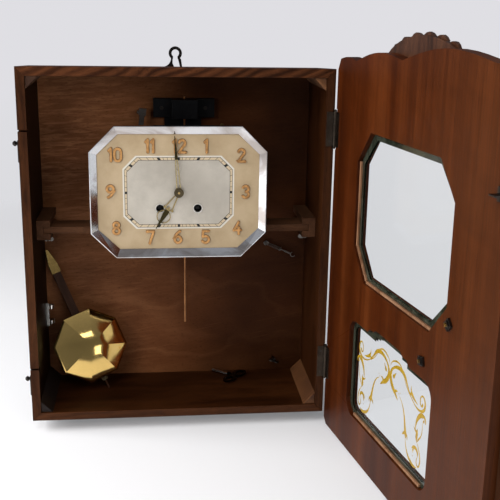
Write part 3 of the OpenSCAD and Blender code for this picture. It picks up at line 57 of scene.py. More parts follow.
def caseMatrix():
    return Matrix.Scale(0.001, 4) @ Matrix.Translation(
        (0, -placing["wallPlane"], -placing["hangerHeight"]))


def doorMatrix():
    # closed-door millimetres, swung open about the hinge pin
    hx, hy = placing["hinge"]
    return (caseMatrix() @ Matrix.Translation((hx, hy, 0))
            @ Matrix.Rotation(math.radians(placing["doorAngle"]), 4, "Z")
            @ Matrix.Translation((-hx, -hy, 0)))


def addObject(name, data):
    made = bpy.data.objects.new(name, data)
    bpy.context.scene.collection.objects.link(made)
    return made


# camera: solved from the edges of the case in the photograph
cameraLook = {
    "place": (-31.654, -990.421, 487.141),
    "yaw": 0.114, "pitch": 0.273, "roll": 0.017,
    "lens": 64.236, "sensor": 36.0, "near": 0.02, "far": 60,
}


def buildCamera(look):
    yaw, pitch, roll = look["yaw"], look["pitch"], look["roll"]
    ahead = Vector((math.sin(yaw) * math.cos(pitch), math.cos(yaw) * math.cos(pitch),
                    -math.sin(pitch)))
    right = Vector((math.cos(yaw), -math.sin(yaw), 0))
    up = right.cross(ahead)
    sideways = math.cos(roll) * right + math.sin(roll) * up
    upward = -math.sin(roll) * right + math.cos(roll) * up
    data = bpy.data.cameras.new("photoCamera")
    data.lens, data.sensor_width, data.sensor_fit = look["lens"], look["sensor"], "HORIZONTAL"
    data.clip_start, data.clip_end = look["near"], look["far"]
    camera = addObject("photoCamera", data)
    turn = Matrix((sideways, upward, -ahead)).transposed().to_4x4()
    camera.matrix_world = Matrix.Translation(fromCase(*look["place"])) @ turn
    bpy.context.scene.camera = camera


buildCamera(cameraLook)
print("camera placed")


# small helpers for node trees
def startFinish(name):
    finish = bpy.data.materials.new(name)
    finish.use_nodes = True
    tree = finish.node_tree
    surface = next(n for n in tree.nodes if n.type == "BSDF_PRINCIPLED")
    return finish, tree, surface


def feed(tree, socket, value):
    if isinstance(value, bpy.types.NodeSocket):
        tree.links.new(value, socket)
    else:
        socket.default_value = value


def dress(tree, surface, values):
    for key, value in values.items():
        feed(tree, surface.inputs[key], value)


def addNode(tree, kind, settings=None, **sockets):
    # sockets go by name, or by place as i0, i1 and so on
    node = tree.nodes.new("ShaderNode" + kind)
    for key, value in (settings or {}).items():
        setattr(node, key, value)
    for key, value in sockets.items():
        byPlace = key[0] == "i" and key[1:].isdigit()
        feed(tree, node.inputs[int(key[1:]) if byPlace else key], value)
    return node


def showAs(tree, shader):
    output = next(n for n in tree.nodes if n.type == "OUTPUT_MATERIAL")
    feed(tree, output.inputs["Surface"], shader.outputs[0])


def calc(tree, operation, a, b=0.0, c=0.0):
    return addNode(tree, "Math", {"operation": operation}, i0=a, i1=b, i2=c).outputs[0]


def times(tree, a, b):
    return calc(tree, "MULTIPLY", a, b)


def spread(tree, value, start, end, low=0.0, high=1.0):
    return addNode(tree, "MapRange", {"clamp": True}, Value=value, i1=start, i2=end,
                   i3=low, i4=high).outputs[0]


def partOf(tree, vector, axis):
    return addNode(tree, "SeparateXYZ", Vector=vector).outputs[axis]


def frontOf(tree, normal="True Normal"):
    return partOf(tree, addNode(tree, "NewGeometry").outputs[normal], "Y")


def rampOf(tree, factor, stops):
    ramp = addNode(tree, "ValToRGB", i0=factor)
    bar = ramp.color_ramp
    bar.interpolation = "LINEAR"
    while len(bar.elements) < len(stops):
        bar.elements.new(0.5)
    for element, (place, tone) in zip(bar.elements, stops):
        element.position = place
        element.color = (tone, tone, tone, 1) if isinstance(tone, float) else (*tone, 1)
    return ramp.outputs["Color"]


def maskOf(tree, pattern, start, end, most=1.0):
    return rampOf(tree, pattern, [(start, 0.0), (end, most)])


def mixTone(tree, factor, a, b, blend="MIX"):
    node = addNode(tree, "Mix", {"data_type": "RGBA", "blend_type": blend}, i0=factor)
    for index, tone in ((6, a), (7, b)):
        feed(tree, node.inputs[index], (*tone, 1) if isinstance(tone, tuple) else tone)
    return node.outputs[2]


def lay(tree, under, over, mask, strength):
    return mixTone(tree, times(tree, mask, strength), under, over)


def shade(tree, tone, share, pattern, stops):
    # the tone times a ramp of the pattern
    return mixTone(tree, share, tone, rampOf(tree, pattern, stops), "MULTIPLY")


def deepen(tree, tone, stainAndShade, mask):
    # the tone times a darker tone, where the mask is; each use below paints shade
    return mixTone(tree, mask, tone, mixTone(tree, 1.0, tone, stainAndShade, "MULTIPLY"))


def objectPoint(tree, doorPiece=False):
    # a point of the piece; on the door it is turned back to the closed door
    point = addNode(tree, "TexCoord").outputs["Object"]
    if doorPiece:
        hx, hy = placing["hinge"]
        pin = fromCase(hx, hy, 0)
        point = addNode(tree, "Mapping", {"vector_type": "TEXTURE"}, Vector=point,
                        Location=(pin.x, pin.y, pin.z),
                        Rotation=(0, 0, math.radians(placing["doorAngle"]))).outputs[0]
    return point


def mapped(tree, point, scale, turn=(0, 0, 0), shift=(0, 0, 0)):
    stretch = scale if isinstance(scale, tuple) else (scale,) * 3
    turned = addNode(tree, "Mapping", Vector=point, Rotation=turn, Location=shift).outputs[0]
    return addNode(tree, "Mapping", Vector=turned, Scale=stretch).outputs[0]


def noiseOf(tree, point, scale, detail=2.0, roughness=0.5, distortion=0.0):
    return addNode(tree, "TexNoise", Vector=point, Scale=scale, Detail=detail,
                   Roughness=roughness, Distortion=distortion).outputs["Fac"]


def patternOf(tree, point, scale, detail=2.0, roughness=0.5, distortion=0.0,
              turn=(0, 0, 0), shift=(0, 0, 0)):
    # noise stretched over the piece, as often a metre as scale says
    place = mapped(tree, point, scale, turn, shift)
    return noiseOf(tree, place, 1.0, detail, roughness, distortion)


def wavesOf(tree, point, direction, scale, distortion, profile="SIN", detailScale=1.0):
    settings = {"wave_type": "BANDS", "bands_direction": direction, "wave_profile": profile}
    return addNode(tree, "TexWave", settings, Vector=point, Scale=scale, Distortion=distortion,
                   Detail=2.0, i4=detailScale).outputs["Fac"]


def sway(tree, warp, reach, point):
    # the point moved by the warp
    return addNode(tree, "VectorMath", {"operation": "MULTIPLY_ADD"}, i0=warp, i1=reach,
                   i2=point).outputs[0]


def bumpOf(tree, surface, height, distance, strength, under=None):
    node = addNode(tree, "Bump", Height=height, Distance=distance, Strength=strength)
    if under is not None:
        tree.links.new(under, node.inputs["Normal"])
    tree.links.new(node.outputs[0], surface.inputs["Normal"])
    return node.outputs[0]


# wood
# along: the axis of the grain; tones from dark to light; the inner share: how dark all but the rim
# is painted, as shade
plainWood = {"figure": 1.0, "turn": (0, 0, 0), "rough": (0.38, 0.6), "coat": 0.03, "streak": 0.3,
             "inner": None, "door": False, "across": 42.0, "down": 2.2}
woodLooks = {
    "leftWalnut": {
        "along": "z", "turn": (0, 0.02, 0), "coat": 0.02, "streak": 0.35, "inner": 0.2,
        "tones": ((0.020, 0.0065, 0.0024), (0.046, 0.0150, 0.0050), (0.085, 0.030, 0.0105))},
    "rightWalnut": {
        "along": "z", "turn": (0, 0.02, 0), "streak": 0.35, "inner": 0.75,
        "tones": ((0.020, 0.0065, 0.0024), (0.048, 0.0158, 0.0052), (0.088, 0.031, 0.0110))},
    "topWalnut": {
        "along": "x", "figure": 1.2, "turn": (0, 0.42, 0), "streak": 0.75, "inner": 0.8,
        "tones": ((0.019, 0.0058, 0.0020), (0.043, 0.0135, 0.0050), (0.125, 0.042, 0.0155))},
    "bottomWalnut": {
        "along": "x", "turn": (0, 0.03, 0), "rough": (0.36, 0.56), "coat": 0.05, "inner": 0.55,
        "tones": ((0.022, 0.0070, 0.0024), (0.056, 0.0180, 0.0056), (0.11, 0.038, 0.0125))},
    "seatWood": {
        "along": "x", "rough": (0.5, 0.7), "coat": 0.0,
        "tones": ((0.04, 0.016, 0.008), (0.095, 0.04, 0.019), (0.15, 0.07, 0.035))},
    "railWood": {
        "along": "y", "rough": (0.5, 0.7), "coat": 0.0,
        "tones": ((0.04, 0.016, 0.008), (0.085, 0.036, 0.018), (0.13, 0.06, 0.03))},
    "beadWood": {
        "along": "z", "figure": 1.4, "rough": (0.6, 0.8), "coat": 0.0, "door": True,
        "tones": ((0.13, 0.055, 0.027), (0.26, 0.13, 0.07), (0.36, 0.2, 0.115))},
    "rodWood": {
        "along": "z", "figure": 1.2, "turn": (0.2, 0.42, 0), "rough": (0.4, 0.6), "coat": 0.1,
        "tones": ((0.014, 0.0055, 0.0026), (0.034, 0.0130, 0.0062), (0.060, 0.024, 0.0120))},
    "mouldWalnut": {
        "along": "z", "rough": (0.22, 0.42), "coat": 0.3, "door": True,
        "tones": ((0.018, 0.0065, 0.003), (0.05, 0.018, 0.0085), (0.085, 0.034, 0.016))},
}


def woodFinish(name, look):
    finish, tree, surface = startFinish(name)
    point = objectPoint(tree, look["door"])
    scale = tuple(look["down"] if axis == look["along"] else look["across"] for axis in "xyz")
    warp = patternOf(tree, point, 9)
    swayed = sway(tree, warp, (1.1, 1.1, 1.1), mapped(tree, point, scale, look["turn"]))
    figure = noiseOf(tree, swayed, 0.9 * look["figure"], 3, 0.55, 0.5)
    dark, middle, light = look["tones"]
    tone = rampOf(tree, figure, [(0.30, dark), (0.52, middle), (0.74, light)])
    bands = wavesOf(tree, swayed, {"x": "Z", "y": "Y", "z": "X"}[look["along"]], 0.8, 3.0)
    tone = lay(tree, tone, light, bands, look["streak"])
    fibre = noiseOf(tree, swayed, 14.0, 4, 0.65)
    tone = shade(tree, tone, 0.75, fibre, [(0.32, 0.52), (0.6, 1.0)])
    poreMask = rampOf(tree, noiseOf(tree, swayed, 34.0), [(0.30, 1.0), (0.40, 0.0)])
    tone = lay(tree, tone, tuple(c * 0.35 for c in dark), poreMask, 0.6)
    soil = patternOf(tree, point, 7, 4, 0.6, shift=(0.3, 0.1, 0.7))
    tone = shade(tree, tone, 0.6, soil, [(0.34, 0.66), (0.62, 1.08)])
    if look["inner"]:
        # painted shade: the faces away from the rim are darker and redder than the rim itself
        shadeTone = tuple(look["inner"] * share for share in (1.0, 0.92, 0.85))
        tone = deepen(tree, tone, shadeTone, spread(tree, frontOf(tree), -0.9, -0.6))
    dress(tree, surface, {
        "Base Color": tone, "Roughness": spread(tree, fibre, 0, 1, *look["rough"]),
        "Coat Weight": look["coat"], "Coat Roughness": 0.28, "Specular IOR Level": 0.08})
    relief = calc(tree, "SUBTRACT", times(tree, fibre, 0.5), poreMask)
    bumpOf(tree, surface, relief, 0.00012, 0.55)
    return finish


# back panel: stained rotary-cut plywood, silky cross fleck figure above with a painted sheen, and
# loops of figure below
panelLook = {
    "dark": (0.085, 0.0280, 0.0102), "middle": (0.225, 0.084, 0.0325),
    # the last tone on the next line is painted shade, for where the open door shades the panel
    "light": (0.42, 0.185, 0.083), "stainAndShade": (0.25, 0.205, 0.165),
    "loops": 0.30, "scuffs": 0.35, "flecksAndSheen": (0.28, 0.75),
    # metres in the clock's frame, from where each mark is faintest to where it is strongest; the
    # painted sheen on the fleck figure is strongest high on the left
    "lowHalf": (-0.20, -0.26), "highHalf": (-0.25, -0.12), "sheenSide": (0.04, -0.09),
    # the last range is where that painted shade sets in and where it is deepest
    "doorShadowSide": (-0.12, 0.12),
}


def panelFinish(look):
    finish, tree, surface = startFinish("stainedPlywood")
    point = objectPoint(tree)
    across, height = partOf(tree, point, "X"), partOf(tree, point, "Z")
    base = patternOf(tree, point, (5, 5, 13), 4, 0.55, 0.8)
    tone = rampOf(tree, base, [(0.28, look["dark"]), (0.5, look["middle"]), (0.8, look["light"])])
    tone = mixTone(tree, 0.45, tone, look["middle"])
    # pale loops where the peeled veneer crosses the growth rings
    warp = patternOf(tree, point, (5, 5, 9), 3)
    looped = sway(tree, warp, (0.9, 0.0, 1.6), mapped(tree, point, (1.6, 1, 6.5)))
    rings = wavesOf(tree, looped, "Z", 0.75, 1.4, "SAW", 1.2)
    ringLine = rampOf(tree, rings, [(0.0, 0.0), (0.80, 0.0), (0.93, 1.0), (1.0, 0.35)])
    lowMask = spread(tree, height, *look["lowHalf"])
    tone = lay(tree, tone, look["light"], times(tree, ringLine, lowMask), look["loops"])
    # silky cross fleck figure, lightened most high on the left as a painted sheen
    flecksAndSheen = patternOf(tree, point, (34, 34, 260), 3, 0.6, 0.6, turn=(0, 0.06, 0))
    fleckSheenMask = times(tree, maskOf(tree, flecksAndSheen, 0.44, 0.66),
                      spread(tree, height, *look["highHalf"], *look["flecksAndSheen"]))
    sheenSideMask = spread(tree, across, *look["sheenSide"], 0.18, 1.0)
    tone = lay(tree, tone, look["light"], fleckSheenMask, sheenSideMask)
    poreMask = rampOf(tree, patternOf(tree, point, (210, 210, 900)), [(0.33, 1.0), (0.42, 0.0)])
    tone = lay(tree, tone, look["dark"], poreMask, 0.45)
    blotch = patternOf(tree, point, 9, 4, 0.6, shift=(0.2, 0, 0.4))
    tone = shade(tree, tone, 0.55, blotch, [(0.32, 0.62), (0.62, 1.1)])
    clouds = patternOf(tree, point, (6.5, 6.5, 9.5), 2, 0.45, shift=(0.55, 0, 0.1))
    tone = shade(tree, tone, 0.8, clouds, [(0.36, 0.45), (0.6, 1.12)])
    # fine pale scuffs across the lower half
    scuffs = patternOf(tree, point, (13, 13, 620), 2, 0.5, 0.4, turn=(0, 0.2, 0))
    scuffMask = times(tree, maskOf(tree, scuffs, 0.665, 0.70), lowMask)
    tone = lay(tree, tone, look["light"], scuffMask, look["scuffs"])
    # painted shade: darker towards the hinge side, where the open door shades the panel
    stainAndShade = rampOf(tree, spread(tree, across, *look["doorShadowSide"]),
                   [(0.0, 0.0), (0.30, 0.5), (0.6, 0.85), (1.0, 1.0)])
    tone = deepen(tree, tone, look["stainAndShade"], stainAndShade)
    dress(tree, surface, {"Base Color": tone, "Roughness": spread(tree, flecksAndSheen, 0, 1, 0.42, 0.62),
                          "Specular IOR Level": 0.08})
    bumpOf(tree, surface, calc(tree, "SUBTRACT", flecksAndSheen, poreMask), 0.00012, 0.5)
    return finish


# door board: reddish mahogany, upright grain, browner towards the free edge
doorLook = {
    "dark": (0.019, 0.0038, 0.0010), "middle": (0.049, 0.0100, 0.0018),
    "light": (0.098, 0.0245, 0.0056), "freeEdge": (0.072, 0.0215, 0.0062),
    "freeSide": (-0.14, -0.34), "rough": (0.36, 0.52),
}


def doorFinish(look):
    finish, tree, surface = startFinish("doorMahogany")
    point = objectPoint(tree, True)
    warp = patternOf(tree, point, (10, 10, 4))
    grain = sway(tree, warp, (0.5, 0.5, 0.2), mapped(tree, point, (30, 30, 0.9)))
    bands = noiseOf(tree, grain, 0.8, 4, 0.5, 0.3)
    tone = rampOf(tree, bands, [(0.28, look["dark"]), (0.5, look["middle"]), (0.76, look["light"])])
    freeSide = spread(tree, partOf(tree, point, "X"), *look["freeSide"])
    tone = lay(tree, tone, look["freeEdge"], freeSide, 0.6)
    ribbons = patternOf(tree, point, (16, 16, 30), 3, 0.55, 1.0, turn=(0, 0.5, 0))
    tone = shade(tree, tone, 0.5, ribbons, [(0.3, 0.72), (0.66, 1.14)])
    fibre = patternOf(tree, point, (420, 420, 7), 3, 0.6)
    tone = shade(tree, tone, 0.65, fibre, [(0.3, 0.6), (0.62, 1.05)])
    poreMask = rampOf(tree, patternOf(tree, point, (1100, 1100, 40)), [(0.30, 1.0), (0.40, 0.0)])
    tone = lay(tree, tone, look["dark"], poreMask, 0.5)
    dress(tree, surface, {
        "Base Color": tone, "Roughness": spread(tree, fibre, 0, 1, *look["rough"]),
        "Coat Weight": 0.04, "Coat Roughness": 0.3, "Specular IOR Level": 0.08})
    relief = calc(tree, "SUBTRACT", times(tree, fibre, 0.6), poreMask)
    bumpOf(tree, surface, relief, 0.0001, 0.45)
    return finish


# glue blocks: sawn softwood, striped across the cut, some stain on it
blockLook = {
    "dark": (0.060, 0.0205, 0.0060), "light": (0.19, 0.080, 0.030), "stripes": 165.0 / 3.4,
    # the last tone on the next line is painted shade for the left blocks
    "stainAndShade": (0.045, 0.017, 0.008), "caseStain": (0.075, 0.06, 0.05),
}


def blockFinish(look):
    finish, tree, surface = startFinish("sawnBlockWood")
    point = objectPoint(tree)
    warp = patternOf(tree, point, 22)
    grain = sway(tree, warp, (0.012, 0.012, 0.012), point)
    stripes = wavesOf(tree, grain, "Y", look["stripes"], 1.5)
    tone = rampOf(tree, stripes, [(0.15, look["dark"]), (0.75, look["light"])])
    stainAndShade = patternOf(tree, point, 26, 4, 0.6)
    tone = mixTone(tree, maskOf(tree, stainAndShade, 0.42, 0.66, 0.8), tone, look["stainAndShade"])
    fibre = patternOf(tree, point, (900, 220, 900))
    tone = shade(tree, tone, 0.6, fibre, [(0.3, 0.7), (0.65, 1.05)])
    # painted shade: the two on the left are darkened, the low one most, as the lower left corner
    # lies in shadow
    left = spread(tree, partOf(tree, point, "X"), 0.02, -0.02)
    low = spread(tree, partOf(tree, point, "Z"), -0.2, -0.25, 0.3, 1.0)
    tone = deepen(tree, tone, look["caseStain"], times(tree, left, low))
    dress(tree, surface, {"Base Color": tone, "Roughness": 0.72})
    bumpOf(tree, surface, fibre, 0.0002, 0.5)
    return finish


# metals
# tone and old: the bright and the tarnished metal; past its split a piece is dark
plainMetal = {"wave": 0.0002, "waveScale": 60.0, "spots": 0.3, "split": None, "streaks": None}
metalLooks = {
    "chromePlate": {
        "tone": (0.80, 0.80, 0.81), "old": (0.62, 0.60, 0.60), "rough": (0.05, 0.14),
        "wave": 0.0004, "waveScale": 8.0, "spots": 0.2,
        # the streaks are a painted reflection in the plating
        "streaks": (9, 20, 17), "streakReflectionTone": (0.43, 0.37, 0.33)},
    "ferruleBrass": {
        "tone": (0.20, 0.135, 0.045), "old": (0.09, 0.058, 0.022), "rough": (0.2, 0.34),
        "wave": 0.0001, "waveScale": 30.0, "spots": 0.25},
    "blackSteel": {
        "tone": (0.030, 0.029, 0.028), "old": (0.012, 0.012, 0.012), "rough": (0.3, 0.4),
        "wave": 0.0001},
    "agedBrass": {
        "tone": (0.62, 0.42, 0.15), "old": (0.22, 0.14, 0.055), "rough": (0.18, 0.42)},
    "polishedBrass": {
        "tone": (0.83, 0.57, 0.19), "old": (0.60, 0.40, 0.13), "rough": (0.04, 0.13),
        "wave": 0.0006, "waveScale": 22.0},
    "plateBrass": {
        "tone": (0.72, 0.50, 0.20), "old": (0.36, 0.24, 0.09), "rough": (0.22, 0.42),
        "waveScale": 50.0, "spots": 0.4},
    "minuteBrass": {
        "tone": (0.62, 0.50, 0.26), "old": (0.30, 0.23, 0.11), "rough": (0.18, 0.34),
        "waveScale": 80.0, "spots": 0.4, "dark": (0.060, 0.047, 0.020),
        "split": {"from": (0, 5, 275.5), "ahead": (-0.0698, 0, 0.9976), "past": 38.0, "half": 9.0}},
    "hourBrass": {
        "tone": (0.44, 0.34, 0.16), "old": (0.20, 0.145, 0.065), "rough": (0.18, 0.34),
        "waveScale": 80.0, "spots": 0.5, "dark": (0.050, 0.040, 0.016),
        "split": {"from": (0, 5, 275.5), "ahead": (-0.5299, 0, -0.8480), "past": 24.5,
                  "half": 3.05}},
    "keyNickel": {
        "tone": (0.66, 0.64, 0.60), "old": (0.36, 0.34, 0.30), "rough": (0.14, 0.3),
        "waveScale": 40.0, "spots": 0.35, "dark": (0.030, 0.025, 0.022),
        "split": {"from": (47.4, 108.5, 13), "ahead": (0.7604, -0.6494, 0), "past": 24.0,
                  "half": 60.0}},
    "agedBronze": {
        "tone": (0.135, 0.105, 0.06), "old": (0.05, 0.038, 0.024), "rough": (0.24, 0.44),
        "spots": 0.6},
    "dullZinc": {
        "tone": (0.24, 0.225, 0.205), "old": (0.08, 0.074, 0.068), "rough": (0.3, 0.5),
        "wave": 0.0001, "spots": 0.6},
    "paleRing": {
        "tone": (0.80, 0.77, 0.70), "old": (0.5, 0.47, 0.42), "rough": (0.3, 0.42),
        "wave": 0.0001, "waveScale": 40.0},
    "copperWire": {
        "tone": (0.50, 0.24, 0.10), "old": (0.22, 0.09, 0.04), "rough": (0.30, 0.5),
        "wave": 0.0001, "spots": 0.5},
    "brightSteel": {
        "tone": (0.62, 0.62, 0.62), "old": (0.34, 0.33, 0.31), "rough": (0.16, 0.34),
        "wave": 0.0001, "spots": 0.4},
    "nickelPlate": {
        "tone": (0.70, 0.68, 0.64), "old": (0.42, 0.40, 0.36), "rough": (0.12, 0.28),
        "waveScale": 40.0, "spots": 0.35},
    "darkIron": {
        "tone": (0.085, 0.075, 0.066), "old": (0.032, 0.028, 0.026), "rough": (0.34, 0.6),
        "waveScale": 90.0, "spots": 0.6},
    "hingeIron": {
        "tone": (0.085, 0.066, 0.05), "old": (0.03, 0.022, 0.016), "rough": (0.36, 0.62),
        "wave": 0.0003, "waveScale": 110.0, "spots": 0.7},
}


def splitMask(tree, point, split):
    # one past a place along the piece, within a half width of its line
    place, ahead = fromCase(*split["from"]), Vector(split["ahead"])
    offset = addNode(tree, "VectorMath", {"operation": "SUBTRACT"}, i0=point,
                     i1=tuple(place)).outputs[0]

    def measure(direction):
        return addNode(tree, "VectorMath", {"operation": "DOT_PRODUCT"}, i0=offset,
                       i1=tuple(direction)).outputs["Value"]

    lyingFlat = abs(ahead.y) > 0.1
    beside = ahead.cross(Vector((0, 0, 1) if lyingFlat else (0, 1, 0))).normalized()
    past, half, soft = split["past"] / 1000, split["half"] / 1000, 0.0001
    beyond = spread(tree, measure(ahead), past - 4 * soft, past + 4 * soft)
    within = spread(tree, calc(tree, "ABSOLUTE", measure(beside)), half + soft, half - soft)
    return times(tree, beyond, within)


def metalFinish(name, look):
    finish, tree, surface = startFinish(name)
    point = objectPoint(tree)
    patches = patternOf(tree, point, 60, 4, 0.6)
    grime = patternOf(tree, point, 420, 3, 0.6)
    mottled = calc(tree, "MULTIPLY_ADD", grime, 0.4, times(tree, patches, 0.6))
    tone = lay(tree, look["tone"], look["old"], maskOf(tree, mottled, 0.42, 0.66), look["spots"])
    if look["split"]:
        tone = mixTone(tree, splitMask(tree, point, look["split"]), tone, look["dark"])
    if look["streaks"]:
        # painted reflection: the plating darkened in long soft streaks
        streaks = patternOf(tree, point, look["streaks"], 4, 0.6, 1.2)
        dullingAndReflection = maskOf(tree, streaks, 0.47, 0.60, 0.8)
        tone = mixTone(tree, dullingAndReflection, tone, look["streakReflectionTone"])
    scratch = patternOf(tree, point, (1500, 1500, 90), 2, 0.6, turn=(0.3, 0.5, 0.2))
    mixed = calc(tree, "ADD", times(tree, patches, 0.6), times(tree, scratch, 0.4))
    dress(tree, surface, {"Base Color": tone, "Metallic": 1.0,
                          "Roughness": spread(tree, mixed, 0.3, 0.7, *look["rough"])})
    ripple = patternOf(tree, point, look["waveScale"])
    bumpOf(tree, surface, scratch, 0.00001, 0.25, bumpOf(tree, surface, ripple, look["wave"], 0.5))
    return finish


# gong block: cast iron in black lacquer
lacquerLook = {
    "tone": (0.0032, 0.0034, 0.0042), "dusty": (0.0085, 0.0088, 0.0100), "rough": (0.30, 0.6),
}


def lacquerFinish(look):
    finish, tree, surface = startFinish("blackLacquer")
    point = objectPoint(tree)
    dust = patternOf(tree, point, 55, 4, 0.6)
    dullingAndReflection = maskOf(tree, dust, 0.45, 0.75)
    dress(tree, surface, {
        "Base Color": mixTone(tree, dullingAndReflection, look["tone"], look["dusty"]),
        "Roughness": spread(tree, dust, 0, 1, *look["rough"]), "Specular IOR Level": 0.22})
    bumpOf(tree, surface, patternOf(tree, point, 520, 3, 0.6), 0.0003, 0.5)
    return finish


# dial: cream paint, silvered centre, printed minute track
dialLook = {
    "cream": (0.50, 0.385, 0.245), "creamWornAndShaded": (0.40, 0.295, 0.172),
    "silver": (0.70, 0.65, 0.565), "silverWorn": (0.54, 0.50, 0.43),
    "silverDim": (0.47, 0.43, 0.365), "trackTone": (0.60, 0.485, 0.33),
    "white": (0.68, 0.65, 0.585), "ink": (0.012, 0.011, 0.010), "behind": (0.30, 0.25, 0.18),
    # half widths, half heights and corner sums of the nested octagons, in mm
    "rim": (93.0, 67.5, 136.5), "whiteLine": (63.1, 42.2, 90.6), "inkOuter": (61.4, 40.6, 87.6),
    "track": (60.9, 40.1, 86.8), "inkInner": (58.6, 37.4, 82.7), "silverEdge": (58.1, 36.9, 81.9),
    "tickHalf": 0.22, "blockHalf": 1.4, "trackDrop": 0.6, "rimShade": 13.0,
    # the sheen's slant, as shares of across and up, and its turns a millimetre
    "slant": (0.62, 0.78), "sheenPace": 0.075,
}


def squareGap(tree, across, up, wide, high):
    return calc(tree, "MAXIMUM", calc(tree, "SUBTRACT", across, wide),
                calc(tree, "SUBTRACT", up, high))


def octagonGap(tree, across, up, sizes):
    # distance past the octagon's edge, in mm: below zero inside
    halfWide, halfHigh, corner = sizes
    gap = squareGap(tree, across, up, halfWide, halfHigh)
    slant = calc(tree, "SUBTRACT", calc(tree, "ADD", across, up), corner)
    return calc(tree, "MAXIMUM", gap, times(tree, slant, 0.707))


def lengthOf(tree, a, b):
    squares = times(tree, a, a), times(tree, b, b)
    return calc(tree, "SQRT", calc(tree, "ADD", *squares))


def spokeMask(tree, angle, radius, step, half):
    # lines of a width of twice half, in mm, every step degrees round the middle
    turn = calc(tree, "DIVIDE", angle, math.radians(step))
    off = calc(tree, "SUBTRACT", turn, calc(tree, "ROUND", turn))
    aside = times(tree, times(tree, off, math.radians(step)), radius)
    return spread(tree, calc(tree, "ABSOLUTE", aside), half + 0.08, half - 0.08)


def dialFinish(look):
    finish, tree, surface = startFinish("dialPaint")
    point = objectPoint(tree)
    middle = fromCase(0, placing["dialFace"], placing["dialHeight"]) * 1000
    local = addNode(tree, "Mapping", Vector=point, Scale=(1000, 1000, 1000),
                    Location=(0, -middle.y, -middle.z + look["trackDrop"])).outputs[0]
    x, z = partOf(tree, local, "X"), partOf(tree, local, "Z")
    across, up = calc(tree, "ABSOLUTE", x), calc(tree, "ABSOLUTE", z)
    masks = {key: spread(tree, octagonGap(tree, across, up, look[key]), 0.12, -0.12)
             for key in ("whiteLine", "inkOuter", "track", "inkInner", "silverEdge")}
    radius, angle = lengthOf(tree, x, z), calc(tree, "ARCTAN2", x, z)
    inkOnTrack = calc(tree, "MAXIMUM", spokeMask(tree, angle, radius, 6, look["tickHalf"]),
                      spokeMask(tree, angle, radius, 30, look["blockHalf"]))
    wear = patternOf(tree, point, 38, 4, 0.6)
    rubbed = maskOf(tree, wear, 0.4, 0.75)
    paint = mixTone(tree, rubbed, look["cream"], look["creamWornAndShaded"])
    # painted shade: a little darker towards the rim
    edge = octagonGap(tree, across, up, look["rim"])
    shaded = spread(tree, edge, -look["rimShade"], 0.0, 0.0, 0.45)
    paint = mixTone(tree, shaded, paint, look["creamWornAndShaded"])
    # painted sheen: the silvering's satin shine is drawn as soft slanting bands of dimmer silver
    tarnish = maskOf(tree, wear, 0.35, 0.7)
    silver = mixTone(tree, tarnish, look["silver"], look["silverWorn"])
    slant = calc(tree, "ADD", *(times(tree, way, share)
                                for way, share in zip((x, z), look["slant"])))
    sheen = calc(tree, "SINE", calc(tree, "MULTIPLY_ADD", wear, 1.2,
                                    times(tree, slant, look["sheenPace"])))
    silver = mixTone(tree, spread(tree, sheen, -1.0, 1.0, 0.0, 0.55), silver, look["silverDim"])
    tone = mixTone(tree, masks["whiteLine"], paint, look["white"])
    tone = mixTone(tree, masks["inkOuter"], tone, look["ink"])
    tone = mixTone(tree, masks["track"], tone, look["trackTone"])
    tone = lay(tree, tone, look["ink"], masks["track"], inkOnTrack)
    tone = mixTone(tree, masks["inkInner"], tone, look["ink"])
    tone = mixTone(tree, masks["silverEdge"], tone, silver)
    facing = calc(tree, "LESS_THAN", frontOf(tree), -0.5)
    silvered = times(tree, masks["silverEdge"], facing)
    grainy = patternOf(tree, point, 2600)
    dress(tree, surface, {
        "Base Color": mixTone(tree, facing, look["behind"], tone),
        "Metallic": times(tree, silvered, 0.55),
        "Roughness": calc(tree, "ADD", spread(tree, silvered, 0, 1, 0.46, 0.36),
                          times(tree, grainy, 0.08))})
    bumpOf(tree, surface, grainy, 0.00003, 0.4)
    return finish


# raised numerals: thin copper-gold shells, with painted shade down their flanks
numeralLook = {"face": (0.70, 0.37, 0.135), "flankShadeAndSpots": (0.085, 0.028, 0.010), "rough": (0.26, 0.50)}


def numeralFinish(look):
    finish, tree, surface = startFinish("copperGold")
    front = times(tree, frontOf(tree, "Normal"), -1.0)
    spots = patternOf(tree, objectPoint(tree), 260, 3, 0.6)
    spotted = maskOf(tree, spots, 0.4, 0.75, 0.6)
    face = mixTone(tree, spotted, look["face"], look["flankShadeAndSpots"])
    # painted shade: faces turned away from the front take the dark flank tone
    facing = maskOf(tree, front, 0.60, 0.88)
    dress(tree, surface, {"Base Color": mixTone(tree, facing, look["flankShadeAndSpots"], face), "Metallic": 0.6,
                          "Roughness": spread(tree, spots, 0, 1, *look["rough"])})
    bumpOf(tree, surface, spots, 0.00005, 0.4)
    return finish


# glass: clear within its outline; where its edge runs into the door it is drawn dark and greenish,
# a painted shade of the rebate
glassLook = {
    "tint": (0.985, 1.0, 0.995), "bend": 1.12, "through": (0.90, 0.94, 0.93), "edgeSoft": 0.15,
    "edge": (0.012, 0.015, 0.010), "edgeStreaked": (0.045, 0.052, 0.038),
    "upper": {"middle": (3.0, 277.0), "half": (98.0, 74.0), "corner": 142.5},
    # raised: the stepped crown over the middle, as half widths and heights over the pane's middle
    "lower": {"middle": (10.5, 91.0), "half": (90.5, 49.5), "round": 9.0,
              "raised": ((37.0, 54.5), (25.0, 58.0))},
}


